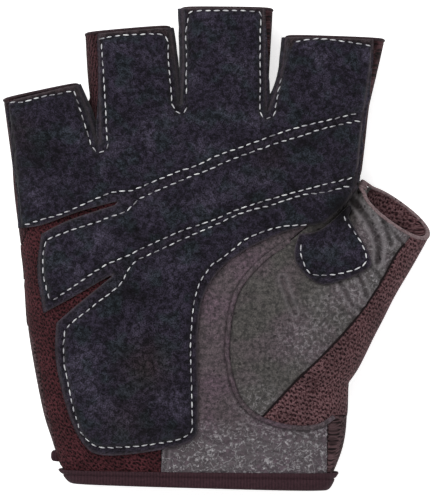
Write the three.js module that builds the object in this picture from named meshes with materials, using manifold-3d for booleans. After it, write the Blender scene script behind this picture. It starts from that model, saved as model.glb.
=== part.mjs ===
// A fingerless weight training glove for the right hand, lying on its back with the palm up.
// Millimetres, +Z up. +X runs across the palm to the thumb, +Y from the wrist to the fingertips.
// The origin is under the middle of the glove, on the surface that it lies on.
import * as THREE from 'three';
import { mergeVertices } from 'three/addons/utils/BufferGeometryUtils.js';
import Module from 'manifold-3d';

const wasm = await Module();
wasm.setup();

// Driving dimensions.
const GLOVE_WIDTH = 123.5; // outer edge of the little finger to the rim of the thumb
const GLOVE_LENGTH = 140.5; // wrist edge to the rim of the middle finger
const PALM_DEPTH = 24; // back of the hand to the crown of the palm
const FINGER_DEPTH = 17; // back to front across a finger stall at its rim
const THUMB_DEPTH = 18; // back to front across the thumb stall at its rim
const THUMB_WIDTH = 23.5; // across the thumb stall at its rim
const THUMB_TILT = 24; // degrees that the thumb's mouth turns up from the table
const FABRIC = 1.3; // wall of the knit and of the smooth leather
const SUEDE = 1.5; // thickness of the suede laid over them
const WELT = 1.0; // height of the welt round the thumb mound
const WELT_WIDTH = 2.2;
const TAPE = 1.1; // wall of the wrist binding
const TAPE_WIDTH = 4.6; // how far the binding reaches up from the wrist edge
const TAB_WIDTH = 3; // pull tab on the little finger's side of the wrist
const TAB_REACH = 1.3; // how far the tab stands out
const TAB_RISE = 2.5; // how far above the binding it starts
const TAB_WALL = 1.6;
const SEAM_ALLOWANCE = 2.4; // side walls run this far in under the edge of the suede
const GAP = 0.3; // clearance between neighbouring pieces
const OVERRUN = 12; // the hollow is cut this far past each mouth, and the outlines past each rim

// Cross sections. `round` is the superellipse power: 2 is an ellipse, more is boxier.
const PALM_ROUND = 3;
const BACK_ROUND = 4.5;
const FINGER_ROUND = 3.2;
const THUMB_ROUND = 2.3;
const LOBE_STEPS = 5; // facets across each quarter of the palm; a finger has twice as many
const THUMB_STEPS = 10;

// The hand from the wrist to the finger crotch. x is a share of GLOVE_WIDTH and y of GLOVE_LENGTH,
// both from the middle; top, side and floor are shares of PALM_DEPTH. lobes is how far the four
// fingers already show in the section, and arch how far it follows the line of the finger crotches.
const HAND_ROWS = [
  { leftX: -0.331, leftY: -0.486, rightX: 0.252, rightY: -0.500, top: 0.78, side: 0.45, floor: 0.10, lobes: 0, arch: 0 },
  { leftX: -0.352, leftY: -0.466, rightX: 0.269, rightY: -0.474, top: 0.78, side: 0.45, floor: 0.09, lobes: 0, arch: 0 },
  { leftX: -0.370, leftY: -0.438, rightX: 0.286, rightY: -0.442, top: 0.80, side: 0.45, floor: 0.07, lobes: 0, arch: 0 },
  { leftX: -0.388, leftY: -0.391, rightX: 0.303, rightY: -0.395, top: 0.86, side: 0.45, floor: 0.02, lobes: 0, arch: 0 },
  { leftX: -0.411, leftY: -0.322, rightX: 0.310, rightY: -0.325, top: 0.95, side: 0.46, floor: -0.03, lobes: 0, arch: 0 },
  { leftX: -0.443, leftY: -0.165, rightX: 0.314, rightY: -0.150, top: 1.00, side: 0.46, floor: -0.05, lobes: 0, arch: 0.15 },
  { leftX: -0.454, leftY: -0.040, rightX: 0.325, rightY: 0.020, top: 0.98, side: 0.46, floor: -0.05, lobes: 0, arch: 0.40 },
  { leftX: -0.474, leftY: 0.100, rightX: 0.350, rightY: 0.205, top: 0.94, side: 0.46, floor: -0.01, lobes: 0.10, arch: 0.80 },
  { leftX: -0.479, leftY: 0.150, rightX: 0.359, rightY: 0.280, top: 0.93, side: 0.47, floor: 0.04, lobes: 0.40, arch: 0.95 },
  { leftX: -0.480, leftY: 0.176, rightX: 0.363, rightY: 0.306, top: 0.92, side: 0.48, floor: 0.06, lobes: 1.00, arch: 1.00 },
];

// Where the crotches between the fingers fall: `across` is a share of the palm's width there.
const CROTCHES = [
  { across: 0, y: 0.176 },
  { across: 0.242, y: 0.222 },
  { across: 0.469, y: 0.302 },
  { across: 0.713, y: 0.290 },
  { across: 1, y: 0.306 },
];

// The finger stalls, at half their length and at the rim.
const FINGERS = [
  { // little
    mid: { leftX: -0.491, leftY: 0.250, rightX: -0.298, rightY: 0.286 },
    rim: { leftX: -0.500, leftY: 0.310, rightX: -0.324, rightY: 0.343 },
  },
  { // ring
    mid: { leftX: -0.299, leftY: 0.330, rightX: -0.093, rightY: 0.372 },
    rim: { leftX: -0.308, leftY: 0.446, rightX: -0.108, rightY: 0.461 },
  },
  { // middle
    mid: { leftX: -0.079, leftY: 0.393, rightX: 0.127, rightY: 0.390 },
    rim: { leftX: -0.082, leftY: 0.499, rightX: 0.134, rightY: 0.497 },
  },
  { // index
    mid: { leftX: 0.152, leftY: 0.358, rightX: 0.378, rightY: 0.362 },
    rim: { leftX: 0.164, leftY: 0.441, rightX: 0.397, rightY: 0.434 },
  },
];
const RIM_LIFT = 0.24; // how far a finger curls up off the table at its rim, as a share of its depth
const RIM_SIDE = 0.52; // height of its widest line, as a share of its depth

// The thumb stall from its root inside the palm to its mouth. width is a share of THUMB_WIDTH,
// depth of THUMB_DEPTH, side of PALM_DEPTH, turn is degrees that the section is swung to the thumb
// side from the palm's, and tilt a share of THUMB_TILT.
const THUMB_ROWS = [
  { x: 0.176, y: -0.262, width: 1.36, depth: 1.18, side: 0.50, turn: 12, tilt: 0 },
  { x: 0.225, y: -0.205, width: 1.26, depth: 1.26, side: 0.50, turn: 22, tilt: 0.1 },
  { x: 0.276, y: -0.135, width: 1.15, depth: 1.22, side: 0.52, turn: 30, tilt: 0.3 },
  { x: 0.307, y: -0.092, width: 1.10, depth: 1.17, side: 0.54, turn: 33, tilt: 0.45 },
  { x: 0.340, y: -0.042, width: 1.06, depth: 1.11, side: 0.56, turn: 34, tilt: 0.6 },
  { x: 0.386, y: 0.020, width: 1.02, depth: 1.04, side: 0.60, turn: 36, tilt: 0.85 },
  { x: 0.424, y: 0.077, width: 1.00, depth: 1.00, side: 0.63, turn: 36, tilt: 1 },
];

// Outlines seen from the palm side, as [x, y] shares of GLOVE_WIDTH and GLOVE_LENGTH. They run
// smoothly through their points, apart from those with a third entry, which are corners.
const cornered = (edge) => edge.map((p, i) => (i === 0 || i === edge.length - 1 ? [...p, 1] : p));

// Edges of the suede along the fingers, each from the rim down.
const LITTLE_OUTER = [[-0.488, 0.306], [-0.473, 0.228], [-0.466, 0.145], [-0.459, 0.047]];
const LITTLE_INNER = [[-0.326, 0.341], [-0.301, 0.288], [-0.278, 0.222]];
const RING_OUTER = [[-0.274, 0.446], [-0.271, 0.310], [-0.271, 0.222]];
const RING_INNER = [[-0.108, 0.459], [-0.094, 0.372], [-0.087, 0.302]];
const MIDDLE_OUTER = [[-0.079, 0.499], [-0.077, 0.393], [-0.082, 0.302]];
const MIDDLE_INNER = [[0.110, 0.499], [0.114, 0.393], [0.117, 0.290]];
const INDEX_OUTER = [[0.164, 0.439], [0.152, 0.358], [0.123, 0.290]];
const INDEX_INNER = [[0.366, 0.434], [0.358, 0.362], [0.340, 0.250], [0.333, 0.190]];

// The rest of the suede's edge, from the thumb's web round the heel of the hand to the little finger.
const HEEL_PAD = [
  [0.328, 0.131, 1], [0.295, 0.090], [0.250, 0.056, 1], [0.160, 0.038], [0.062, -0.002],
  [-0.010, -0.060], [-0.041, -0.145], [-0.042, -0.330], [-0.055, -0.388], [-0.155, -0.412],
  [-0.262, -0.420], [-0.308, -0.397], [-0.347, -0.321], [-0.372, -0.220], [-0.370, -0.148, 1],
];
const LOWER_SLIT = [
  [-0.329, -0.116], [-0.246, -0.056, 1], [-0.240, -0.049, 1], [-0.250, -0.053, 1], [-0.326, -0.092],
];
const MIDDLE_PAD = [[-0.399, -0.127, 1], [-0.414, -0.040], [-0.406, 0.034, 1]];
const UPPER_SLIT = [
  [-0.343, 0.062], [-0.236, 0.093, 1], [-0.230, 0.099, 1], [-0.238, 0.099, 1], [-0.319, 0.080],
  [-0.408, 0.052],
];
const SUEDE_OUTLINE = [
  ...cornered(LITTLE_INNER), ...cornered([...RING_OUTER].reverse()), ...cornered(RING_INNER),
  ...cornered([...MIDDLE_OUTER].reverse()), ...cornered(MIDDLE_INNER),
  ...cornered([...INDEX_OUTER].reverse()), ...cornered(INDEX_INNER),
  ...HEEL_PAD, ...LOWER_SLIT, ...MIDDLE_PAD, ...UPPER_SLIT, ...cornered([...LITTLE_OUTER].reverse()),
];

// The suede patch over the root of the thumb.
const PATCH_OUTLINE = [
  [0.193, 0.034, 1], [0.246, 0.044], [0.309, 0.094, 1], [0.318, 0.058], [0.358, -0.008],
  [0.350, -0.040], [0.250, -0.071], [0.194, -0.036], [0.182, -0.003],
];

// Seams of the cloth and leather below the suede.
const WELT_LINE = [ // round the thumb mound, from the suede to the side of the hand
  [0.176, 0.022], [0.103, -0.024], [0.045, -0.092], [0.026, -0.190], [0.032, -0.248], [0.053, -0.303],
  [0.090, -0.338], [0.145, -0.358], [0.200, -0.365], [0.245, -0.360], [0.279, -0.341],
];
const THUMB_SEAM = [ // leather to knit, from the thumb's rim down to the welt
  [0.520, 0.110], [0.453, 0.026], [0.423, -0.005], [0.376, -0.079], [0.324, -0.143], [0.256, -0.209],
  [0.190, -0.265], [0.108, -0.342],
];
const THUMB_WEB = [0.333, 0.145]; // where the thumb leaves the side of the hand
const THUMB_CREASE = [[0.176, 0.022], [0.225, 0.058], [0.290, 0.098], [0.318, 0.124], [0.340, 0.150]];
const LEATHER_UNDER = [ // the leather's edge under the suede, from the wrist up
  [-0.128, -0.330], [-0.080, -0.100], [-0.020, -0.010], [0.120, 0.058], [0.225, 0.070],
];
const LEATHER_CORNER = [0.262, -0.352]; // where leather and knit meet under the end of the welt
const BACK_WRAP = [ // the back's edge, drawn round onto the palm at the little finger's side
  [-0.375, -1], [-0.378, -0.400], [-0.401, -0.323], [-0.427, -0.193], [-0.460, -0.120], [-1, -0.110],
];
const SIDE_WALL_FOOT = 0.011; // lower end of the wall along the little finger's side
const SUEDE_FOOT = 0.66; // the suede turns down the fingers' sides to this height, as a share of PALM_DEPTH
const SEAM_HEIGHT = 0.30; // back seam of the finger side walls, as a share of the finger's depth

const xOf = (share) => share * GLOVE_WIDTH;
const yOf = (share) => share * GLOVE_LENGTH;
const lerp = THREE.MathUtils.lerp;

// Value at t, in steps of the table, of a smooth curve through one column of it.
function smoothColumn(values, t) {
  const steps = values.map((value, i) => new THREE.Vector2(i, value));
  return new THREE.SplineCurve(steps).getPoint(t / (values.length - 1)).y;
}

// A closed mesh's triangles as a solid.
function solidFrom(geometry) {
  const bare = geometry.index ? geometry.toNonIndexed() : geometry;
  const merged = mergeVertices(new THREE.BufferGeometry().setAttribute('position', bare.getAttribute('position')), 1e-4);
  return new wasm.Manifold(new wasm.Mesh({
    numProp: 3,
    vertProperties: new Float32Array(merged.getAttribute('position').array),
    triVerts: new Uint32Array(merged.index.array),
  }));
}

// A closed sleeve through rows of { front, back }: as many points each, left to right, meeting at both ends.
function sleeve(rows) {
  const positions = [];
  const quad = (a, b, c, d) => {
    for (const p of [a, b, c, a, c, d]) positions.push(p.x, p.y, p.z);
  };
  const last = rows[0].front.length - 1;
  for (let r = 0; r + 1 < rows.length; r++) {
    const near = rows[r];
    const far = rows[r + 1];
    for (let i = 0; i < last; i++) {
      quad(near.front[i], near.front[i + 1], far.front[i + 1], far.front[i]);
      quad(near.back[i + 1], near.back[i], far.back[i], far.back[i + 1]);
    }
  }
  for (const [row, flip] of [[rows[0], false], [rows[rows.length - 1], true]]) {
    for (let i = 0; i < last; i++) {
      if (flip) quad(row.front[i], row.front[i + 1], row.back[i + 1], row.back[i]);
      else quad(row.back[i], row.back[i + 1], row.front[i + 1], row.front[i]);
    }
  }
  const geometry = new THREE.BufferGeometry();
  geometry.setAttribute('position', new THREE.Float32BufferAttribute(positions, 3));
  return solidFrom(geometry);
}

const crown = (across, power) => (1 - Math.abs(across) ** power) ** (1 / power);

// Height of the crotch line over the straight line between its ends, at a share of the palm's width.
function archAt(across) {
  const ends = lerp(CROTCHES[0].y, CROTCHES[CROTCHES.length - 1].y, across);
  const i = Math.min(CROTCHES.findIndex((c) => across <= c.across + 1e-9) - 1, CROTCHES.length - 2);
  const from = CROTCHES[Math.max(i, 0)];
  const to = CROTCHES[Math.max(i, 0) + 1];
  const t = (across - from.across) / (to.across - from.across);
  return lerp(from.y, to.y, THREE.MathUtils.smoothstep(t, 0, 1)) - ends;
}

// Where a surface grown by `grow` may reach down to: what lies on the table is pressed flat on it.
const pressed = (z, grow) => Math.max(z, -grow);

// One section of the palm, grown outwards by `grow`.
function handSection(row, grow) {
  const front = [];
  const back = [];
  const side = row.side * PALM_DEPTH;
  const up = row.top * PALM_DEPTH - side;
  const down = side - row.floor * PALM_DEPTH;
  for (let finger = 0; finger < FINGERS.length; finger++) {
    const from = CROTCHES[finger].across;
    const to = CROTCHES[finger + 1].across;
    for (let i = finger ? 1 : 0; i <= LOBE_STEPS; i++) {
      const inLobe = -Math.cos((Math.PI * i) / LOBE_STEPS);
      const across = lerp(from, to, (inLobe + 1) / 2);
      const whole = 2 * across - 1;
      const x = xOf(lerp(row.leftX, row.rightX, across)) + grow * whole ** 3;
      const y = yOf(lerp(row.leftY, row.rightY, across) + row.arch * archAt(across));
      const lobe = crown(inLobe, FINGER_ROUND);
      const over = lerp(crown(whole, PALM_ROUND), lobe, row.lobes);
      const under = lerp(crown(whole, BACK_ROUND), lobe, row.lobes);
      // The valleys between the fingers grow in height as much as their crests; the two edges don't.
      const valley = grow > 0 && Math.abs(whole) < 1;
      front.push(new THREE.Vector3(x, y, side + up * over + grow * (valley ? 1 : over)));
      back.push(new THREE.Vector3(x, y, pressed(side - down * under - grow * (valley ? 1 : under), grow)));
    }
  }
  return { front, back };
}

// One section of a finger stall between two points of its edges.
function fingerSection({ edges, heights }, grow) {
  const front = [];
  const back = [];
  for (let i = 0; i <= LOBE_STEPS * 2; i++) {
    const inLobe = -Math.cos((Math.PI * i) / (LOBE_STEPS * 2));
    const across = (inLobe + 1) / 2;
    const x = lerp(xOf(edges.leftX) - grow, xOf(edges.rightX) + grow, across);
    const y = yOf(lerp(edges.leftY, edges.rightY, across));
    const over = crown(inLobe, FINGER_ROUND);
    front.push(new THREE.Vector3(x, y, heights.side + (heights.top - heights.side + grow) * over));
    back.push(new THREE.Vector3(x, y, pressed(heights.side - (heights.side - heights.floor + grow) * over, grow)));
  }
  return { front, back };
}

// The same section carried on in the direction that the sleeve has there, to cut right through its mouth.
function carriedOn(sections, distance) {
  const [before, last] = sections.slice(-2);
  const middleOf = ({ front, back }) => front[0].clone().add(front[front.length - 1]);
  const step = middleOf(last).sub(middleOf(before)).setLength(distance);
  const moved = (line) => line.map((p) => p.clone().add(step));
  return { front: moved(last.front), back: moved(last.back) };
}

const knuckles = HAND_ROWS[HAND_ROWS.length - 1];
const knuckleHeights = {
  top: knuckles.top * PALM_DEPTH,
  side: knuckles.side * PALM_DEPTH,
  floor: knuckles.floor * PALM_DEPTH,
};
const rimHeights = {
  top: (RIM_LIFT + 1) * FINGER_DEPTH,
  side: (RIM_LIFT + RIM_SIDE) * FINGER_DEPTH,
  floor: RIM_LIFT * FINGER_DEPTH,
};

const ROOT_REACH = 0.6; // how far inside the palm a stall starts, in the steps of FINGERS
const ROOT_SINK = 3.2; // and how far below the palm's surface it is there

// A finger's edges and heights at `along`, 0 at the crotch and 2 at the rim.
function fingerAt(index, along) {
  const finger = FINGERS[index];
  const edgeOf = (k) => lerp(knuckles.leftX, knuckles.rightX, CROTCHES[k].across);
  const root = {
    leftX: edgeOf(index), leftY: CROTCHES[index].y, rightX: edgeOf(index + 1), rightY: CROTCHES[index + 1].y,
  };
  const edges = {};
  for (const key of Object.keys(root)) {
    const below = 2 * root[key] - finger.mid[key];
    const t = THREE.MathUtils.clamp(along, -1, 2) + 1;
    edges[key] = smoothColumn([below, root[key], finger.mid[key], finger.rim[key]], t);
  }
  const heights = {};
  for (const key of Object.keys(knuckleHeights)) {
    heights[key] = lerp(knuckleHeights[key], rimHeights[key], Math.max(along, 0) / 2);
  }
  return { edges, heights };
}

function fingerSolid(index, grow, lengthen) {
  // Inside the palm the stall is drawn in, so that it doesn't show through the palm's surface.
  const rows = [
    fingerSection(fingerAt(index, -ROOT_REACH), grow - ROOT_SINK),
    ...[0, 1, 2].map((along) => fingerSection(fingerAt(index, along), grow)),
  ];
  if (lengthen) rows.push(carriedOn(rows, lengthen));
  return sleeve(rows);
}

// The thumb's section frame: middle, the way across it and the way up through it.
function thumbFrame(row) {
  const turn = THREE.MathUtils.degToRad(row.turn);
  const tilt = THREE.MathUtils.degToRad(row.tilt * THUMB_TILT);
  const across = new THREE.Vector3(Math.cos(turn), -Math.sin(turn), 0);
  const ahead = new THREE.Vector3(Math.sin(turn) * Math.cos(tilt), Math.cos(turn) * Math.cos(tilt), Math.sin(tilt));
  const up = new THREE.Vector3().crossVectors(across, ahead);
  const middle = new THREE.Vector3(xOf(row.x), yOf(row.y), row.side * PALM_DEPTH);
  return { middle, across, up };
}

function thumbSolid(grow, lengthen) {
  const rows = THUMB_ROWS.map((row) => {
    const { middle, across, up } = thumbFrame(row);
    const halfWidth = (row.width * THUMB_WIDTH) / 2 + grow;
    const halfDepth = (row.depth * THUMB_DEPTH) / 2 + grow;
    const front = [];
    const back = [];
    for (let i = 0; i <= THUMB_STEPS; i++) {
      const t = -Math.cos((Math.PI * i) / THUMB_STEPS);
      const lift = halfDepth * crown(t, THUMB_ROUND);
      const base = middle.clone().addScaledVector(across, t * halfWidth);
      const under = base.clone().addScaledVector(up, -lift);
      front.push(base.clone().addScaledVector(up, lift));
      back.push(under.setZ(pressed(under.z, grow)));
    }
    return { front, back };
  });
  if (lengthen) rows.push(carriedOn(rows, lengthen));
  return sleeve(rows);
}

// The whole hand, grown by `grow`. `lengthen` carries it on past its mouths, to hollow the glove through,
// and `short` stops it that far short of the wrist edge.
function handSolid(grow, lengthen = 0, short = 0) {
  const sections = HAND_ROWS.map((row) => handSection(row, grow));
  const moveAlong = ({ front, back }, dy) => [...front, ...back].forEach((p) => p.setY(p.y + dy));
  moveAlong(sections[0], short);
  moveAlong(sections[sections.length - 1], grow);
  if (lengthen) sections.unshift(carriedOn(sections.slice(0, 2).reverse(), lengthen));
  const palm = sleeve(sections);
  const fingers = FINGERS.map((finger, i) => fingerSolid(i, grow, lengthen));
  return [...fingers, thumbSolid(grow, lengthen)].reduce((body, limb) => body.add(limb), palm);
}

// Points along an outline in mm: straight into its corners and smooth between them.
function traced(points, closed) {
  const at = points.map(([x, y, corner]) => ({ p: new THREE.Vector2(xOf(x), yOf(y)), corner: Boolean(corner) }));
  const runs = [];
  if (closed) {
    const start = Math.max(at.findIndex((a) => a.corner), 0);
    at.push(...at.splice(0, start), at[0]);
  }
  let run = [at[0].p];
  for (let i = 1; i < at.length; i++) {
    run.push(at[i].p);
    if (at[i].corner || i === at.length - 1) {
      runs.push(run);
      run = [at[i].p];
    }
  }
  const line = [];
  for (const r of runs) {
    const dense = r.length > 2 ? new THREE.SplineCurve(r).getPoints((r.length - 1) * 2) : r;
    line.push(...dense.slice(0, -1));
  }
  if (!closed) line.push(at[at.length - 1].p);
  return line;
}

// The outline moved outwards by d, or inwards if d is negative.
function offsetOutline(line, d) {
  const ccw = THREE.ShapeUtils.isClockWise(line) ? [...line].reverse() : line;
  return ccw.map((p, i) => {
    const before = ccw[(i + ccw.length - 1) % ccw.length];
    const after = ccw[(i + 1) % ccw.length];
    const a = p.clone().sub(before).normalize();
    const b = after.clone().sub(p).normalize();
    const normal = new THREE.Vector2(a.y + b.y, -a.x - b.x);
    if (normal.length() < 0.2) return p.clone().addScaledVector(a, d);
    normal.normalize();
    const lengthen = 1 / Math.max(normal.dot(new THREE.Vector2(a.y, -a.x)), 0.6);
    return p.clone().addScaledVector(normal, d * lengthen);
  });
}

const SKY = PALM_DEPTH * 3; // above everything
const GROUND = -PALM_DEPTH; // below everything

// An outline carried straight up from one height to another.
function prism(line, from = GROUND, to = SKY) {
  const shape = new THREE.Shape(line);
  const geometry = new THREE.ExtrudeGeometry(shape, { depth: to - from, bevelEnabled: false });
  return solidFrom(geometry.translate(0, 0, from));
}

// The band of a given width along an open line.
function band(line, width) {
  const side = (sign) => line.map((p, i) => {
    const before = line[Math.max(i - 1, 0)];
    const after = line[Math.min(i + 1, line.length - 1)];
    const along = after.clone().sub(before).normalize();
    return new THREE.Vector2(p.x - (along.y * sign * width) / 2, p.y + (along.x * sign * width) / 2);
  });
  return [...side(1), ...side(-1).reverse()];
}

// The largest body of a solid: cuts can leave crumbs beside it.
function mainBody(solid) {
  return solid.decompose().sort((a, b) => b.volume() - a.volume())[0];
}

const skin = handSolid(0, 0, GAP + TAPE).subtract(handSolid(-FABRIC, OVERRUN));
const halfway = knuckleHeights.side; // the palm side's pieces lie above this, the back's below
const sideSeam = (RIM_LIFT + SEAM_HEIGHT) * FINGER_DEPTH; // the back's seam along the fingers' sides

// A region of the skin: `cut` is its own space, and `room` the same with the clearance round it.
function region(line, from, to) {
  return {
    cut: prism(line, from, to),
    room: prism(offsetOutline(line, GAP), from - GAP, to + GAP),
  };
}
const joined = (a, b) => ({ cut: a.cut.add(b.cut), room: a.room.add(b.room) });
const point = ([x, y]) => new THREE.Vector2(xOf(x), yOf(y));
const points = (shares) => shares.map(point);
const movedAcross = (edge, dx) => points(edge).map((p) => new THREE.Vector2(p.x + dx, p.y));

// The side wall between two fingers, which runs a seam allowance in under the suede on both. The edges
// of the suede are given from the rim to the crotch.
function wallBetween(leftEdge, rightEdge) {
  const left = movedAcross(leftEdge, -SEAM_ALLOWANCE);
  const right = movedAcross(rightEdge, SEAM_ALLOWANCE);
  const foot = left[left.length - 1].clone().add(right[right.length - 1]).divideScalar(2);
  foot.y -= SEAM_ALLOWANCE;
  const over = Math.max(left[0].y, right[0].y) + OVERRUN;
  return region([
    new THREE.Vector2(left[0].x, over), ...left, foot, ...right.reverse(), new THREE.Vector2(right[0].x, over),
  ], sideSeam, SKY);
}

// The wall along the outer side of the hand, from a finger's rim to `foot`, a share of GLOVE_LENGTH.
function outerWall(edge, foot, direction) {
  const inner = movedAcross(edge, -direction * SEAM_ALLOWANCE);
  const beyond = direction * GLOVE_WIDTH;
  return region([
    new THREE.Vector2(beyond, inner[0].y + OVERRUN), new THREE.Vector2(inner[0].x, inner[0].y + OVERRUN),
    ...inner, new THREE.Vector2(inner[inner.length - 1].x + direction * SEAM_ALLOWANCE, yOf(foot)),
    new THREE.Vector2(beyond, yOf(foot)),
  ], sideSeam, SKY);
}

const seam = traced(THUMB_SEAM, false);
const weltLine = traced(WELT_LINE, false);
const crease = traced(THUMB_CREASE, false);
const seamEnd = seam[seam.length - 1];
const nearest = (line, to) => line.reduce((best, p, i) => (p.distanceTo(to) < line[best].distanceTo(to) ? i : best), 0);
const moundEnd = nearest(weltLine, seamEnd);

const regions = {
  side_wall_little: outerWall(LITTLE_OUTER, SIDE_WALL_FOOT, -1),
  side_wall_little_ring: wallBetween(LITTLE_INNER, RING_OUTER),
  side_wall_ring_middle: wallBetween(RING_INNER, MIDDLE_OUTER),
  side_wall_middle_index: wallBetween(MIDDLE_INNER, INDEX_OUTER),
  side_wall_index: outerWall(INDEX_INNER, THUMB_WEB[1], 1),
};
const thumbRim = THUMB_SEAM[0];
const weltEnd = WELT_LINE[WELT_LINE.length - 1];
const FAR = 1; // a share well outside the glove
const HEEL_OF_THUMB = HAND_ROWS[4]; // the row where the thumb mound starts
regions.thumb_leather = region([
  ...weltLine.slice(0, moundEnd + 1), ...[...seam].reverse(), point([FAR, thumbRim[1]]),
  point([FAR, THUMB_WEB[1]]), ...[...crease].reverse().slice(0, -1),
], halfway, SKY);
regions.thumb_mesh = joined(
  region([
    ...seam, ...weltLine.slice(moundEnd + 1), point([FAR, weltEnd[1]]), point([FAR, thumbRim[1]]),
  ], halfway, SKY),
  region(points([
    [HEEL_OF_THUMB.rightX, weltEnd[1]], [FAR, weltEnd[1]], [FAR, THUMB_WEB[1]], THUMB_WEB,
  ]), GROUND, halfway),
);
regions.palm_leather = region([
  ...weltLine.filter((p) => p.x < xOf(LEATHER_CORNER[0])),
  ...points([LEATHER_CORNER, [LEATHER_CORNER[0], -FAR], [LEATHER_UNDER[0][0], -FAR], ...LEATHER_UNDER]),
], halfway, SKY);
regions.palm_mesh = region(points([
  [-FAR, CROTCHES[0].y], ...CROTCHES.map((c) => [lerp(knuckles.leftX, knuckles.rightX, c.across), c.y]),
  [FAR, CROTCHES[4].y], [FAR, THUMB_WEB[1]], ...[...LEATHER_UNDER].reverse(), [LEATHER_UNDER[0][0], -FAR],
  ...BACK_WRAP,
]), halfway, SKY);

const pieces = {};
let rest = skin;
for (const [name, { cut, room }] of Object.entries(regions)) {
  pieces[name] = mainBody(rest.intersect(cut));
  rest = rest.subtract(room);
}
pieces.back_panel = mainBody(rest);

// The suede and the welt lie on top of the cloth and leather.
const under = handSolid(GAP, OVERRUN);
const overlay = handSolid(GAP + SUEDE).subtract(under);
const suede = region(traced(SUEDE_OUTLINE, true), SUEDE_FOOT * PALM_DEPTH, SKY);
const patch = region(traced(PATCH_OUTLINE, true), halfway, SKY);
pieces.suede_palm = mainBody(overlay.intersect(suede.cut));
pieces.thumb_patch = mainBody(overlay.intersect(patch.cut).subtract(suede.room));
const weltBand = prism(band(weltLine, WELT_WIDTH), halfway, SKY);
pieces.seam_welt = mainBody(
  handSolid(GAP + WELT).subtract(under).intersect(weltBand).subtract(suede.room).subtract(patch.room),
);

// The binding is folded round the wrist edge, with a leg outside it, a leg inside and a fold below.
const tapeTop = yOf(HAND_ROWS[0].leftY) + TAPE_WIDTH;
const tapeReach = prism([[-FAR, -FAR], [FAR, -FAR], [FAR, tapeTop / GLOVE_LENGTH], [-FAR, tapeTop / GLOVE_LENGTH]].map(point));
const tapeOuter = handSolid(GAP + TAPE).subtract(handSolid(-FABRIC - GAP - TAPE, OVERRUN));
const held = handSolid(GAP, 0, TAPE).subtract(handSolid(-FABRIC - GAP, OVERRUN));
pieces.wrist_binding = mainBody(tapeOuter.subtract(held).intersect(tapeReach));

// How far out the little finger's side of the hand lies at a height y of its length.
function handEdgeAt(y) {
  const k = HAND_ROWS.findIndex((row) => yOf(row.leftY) > y);
  const [from, to] = [HAND_ROWS[k - 1], HAND_ROWS[k]];
  return xOf(lerp(from.leftX, to.leftX, (y - yOf(from.leftY)) / yOf(to.leftY - from.leftY)));
}

// The pull tab: tape folded double that stands out from the side seam, just above the binding.
function pullTab() {
  const foot = tapeTop + TAB_RISE;
  const inner = Math.min(handEdgeAt(foot), handEdgeAt(foot + TAB_WIDTH)) - GAP;
  const fold = TAB_WALL / 2;
  const shape = new THREE.Shape();
  shape.moveTo(inner, -fold);
  shape.lineTo(inner, fold);
  shape.lineTo(inner - TAB_REACH + fold, fold);
  shape.absarc(inner - TAB_REACH + fold, 0, fold, Math.PI / 2, Math.PI * 1.5, false);
  const geometry = new THREE.ExtrudeGeometry(shape, { depth: TAB_WIDTH, bevelEnabled: false, curveSegments: 8 });
  geometry.rotateX(Math.PI / 2).translate(0, foot + TAB_WIDTH, HAND_ROWS[0].side * PALM_DEPTH);
  return solidFrom(geometry);
}
pieces.pull_tab = pullTab();

const COLOURS = {
  suede_palm: 0x2b2c38,
  thumb_patch: 0x2b2c38,
  palm_leather: 0x4d484b,
  thumb_leather: 0x4d484b,
  seam_welt: 0x3d383b,
  wrist_binding: 0x33262a,
  pull_tab: 0x33262a,
};
const KNIT = 0x3a2527;

const glove = new THREE.Group();
for (const [name, solid] of Object.entries(pieces)) {
  const mesh = solid.getMesh();
  const geometry = new THREE.BufferGeometry();
  geometry.setAttribute('position', new THREE.BufferAttribute(mesh.vertProperties, 3));
  geometry.setIndex(new THREE.BufferAttribute(mesh.triVerts, 1));
  const part = new THREE.Mesh(geometry, new THREE.MeshStandardMaterial({
    color: COLOURS[name] ?? KNIT, roughness: 0.85, metalness: 0,
  }));
  part.name = name;
  glove.add(part);
}
const box = new THREE.Box3().setFromObject(glove);
const middle = box.getCenter(new THREE.Vector3());
glove.position.set(-middle.x, -middle.y, -box.min.z);

export default glove;
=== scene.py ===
# %% [markdown]
# # A fingerless weight training glove
# The glove lies on its back with the palm up. It is built here as a glove maker builds one: a hand form
# is shaped first, panels are cut out of its surface, each panel gets the thickness of its cloth or
# leather, and the suede, the seams and the thread go on top.
#
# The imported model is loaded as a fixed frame. Every size below is a share of it, so the dressed glove
# and the plain solids stay the same glove.

# %% Load the frame
import math

import bmesh
import bpy
import numpy as np
from mathutils import Matrix, Vector
from mathutils.bvhtree import BVHTree


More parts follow.
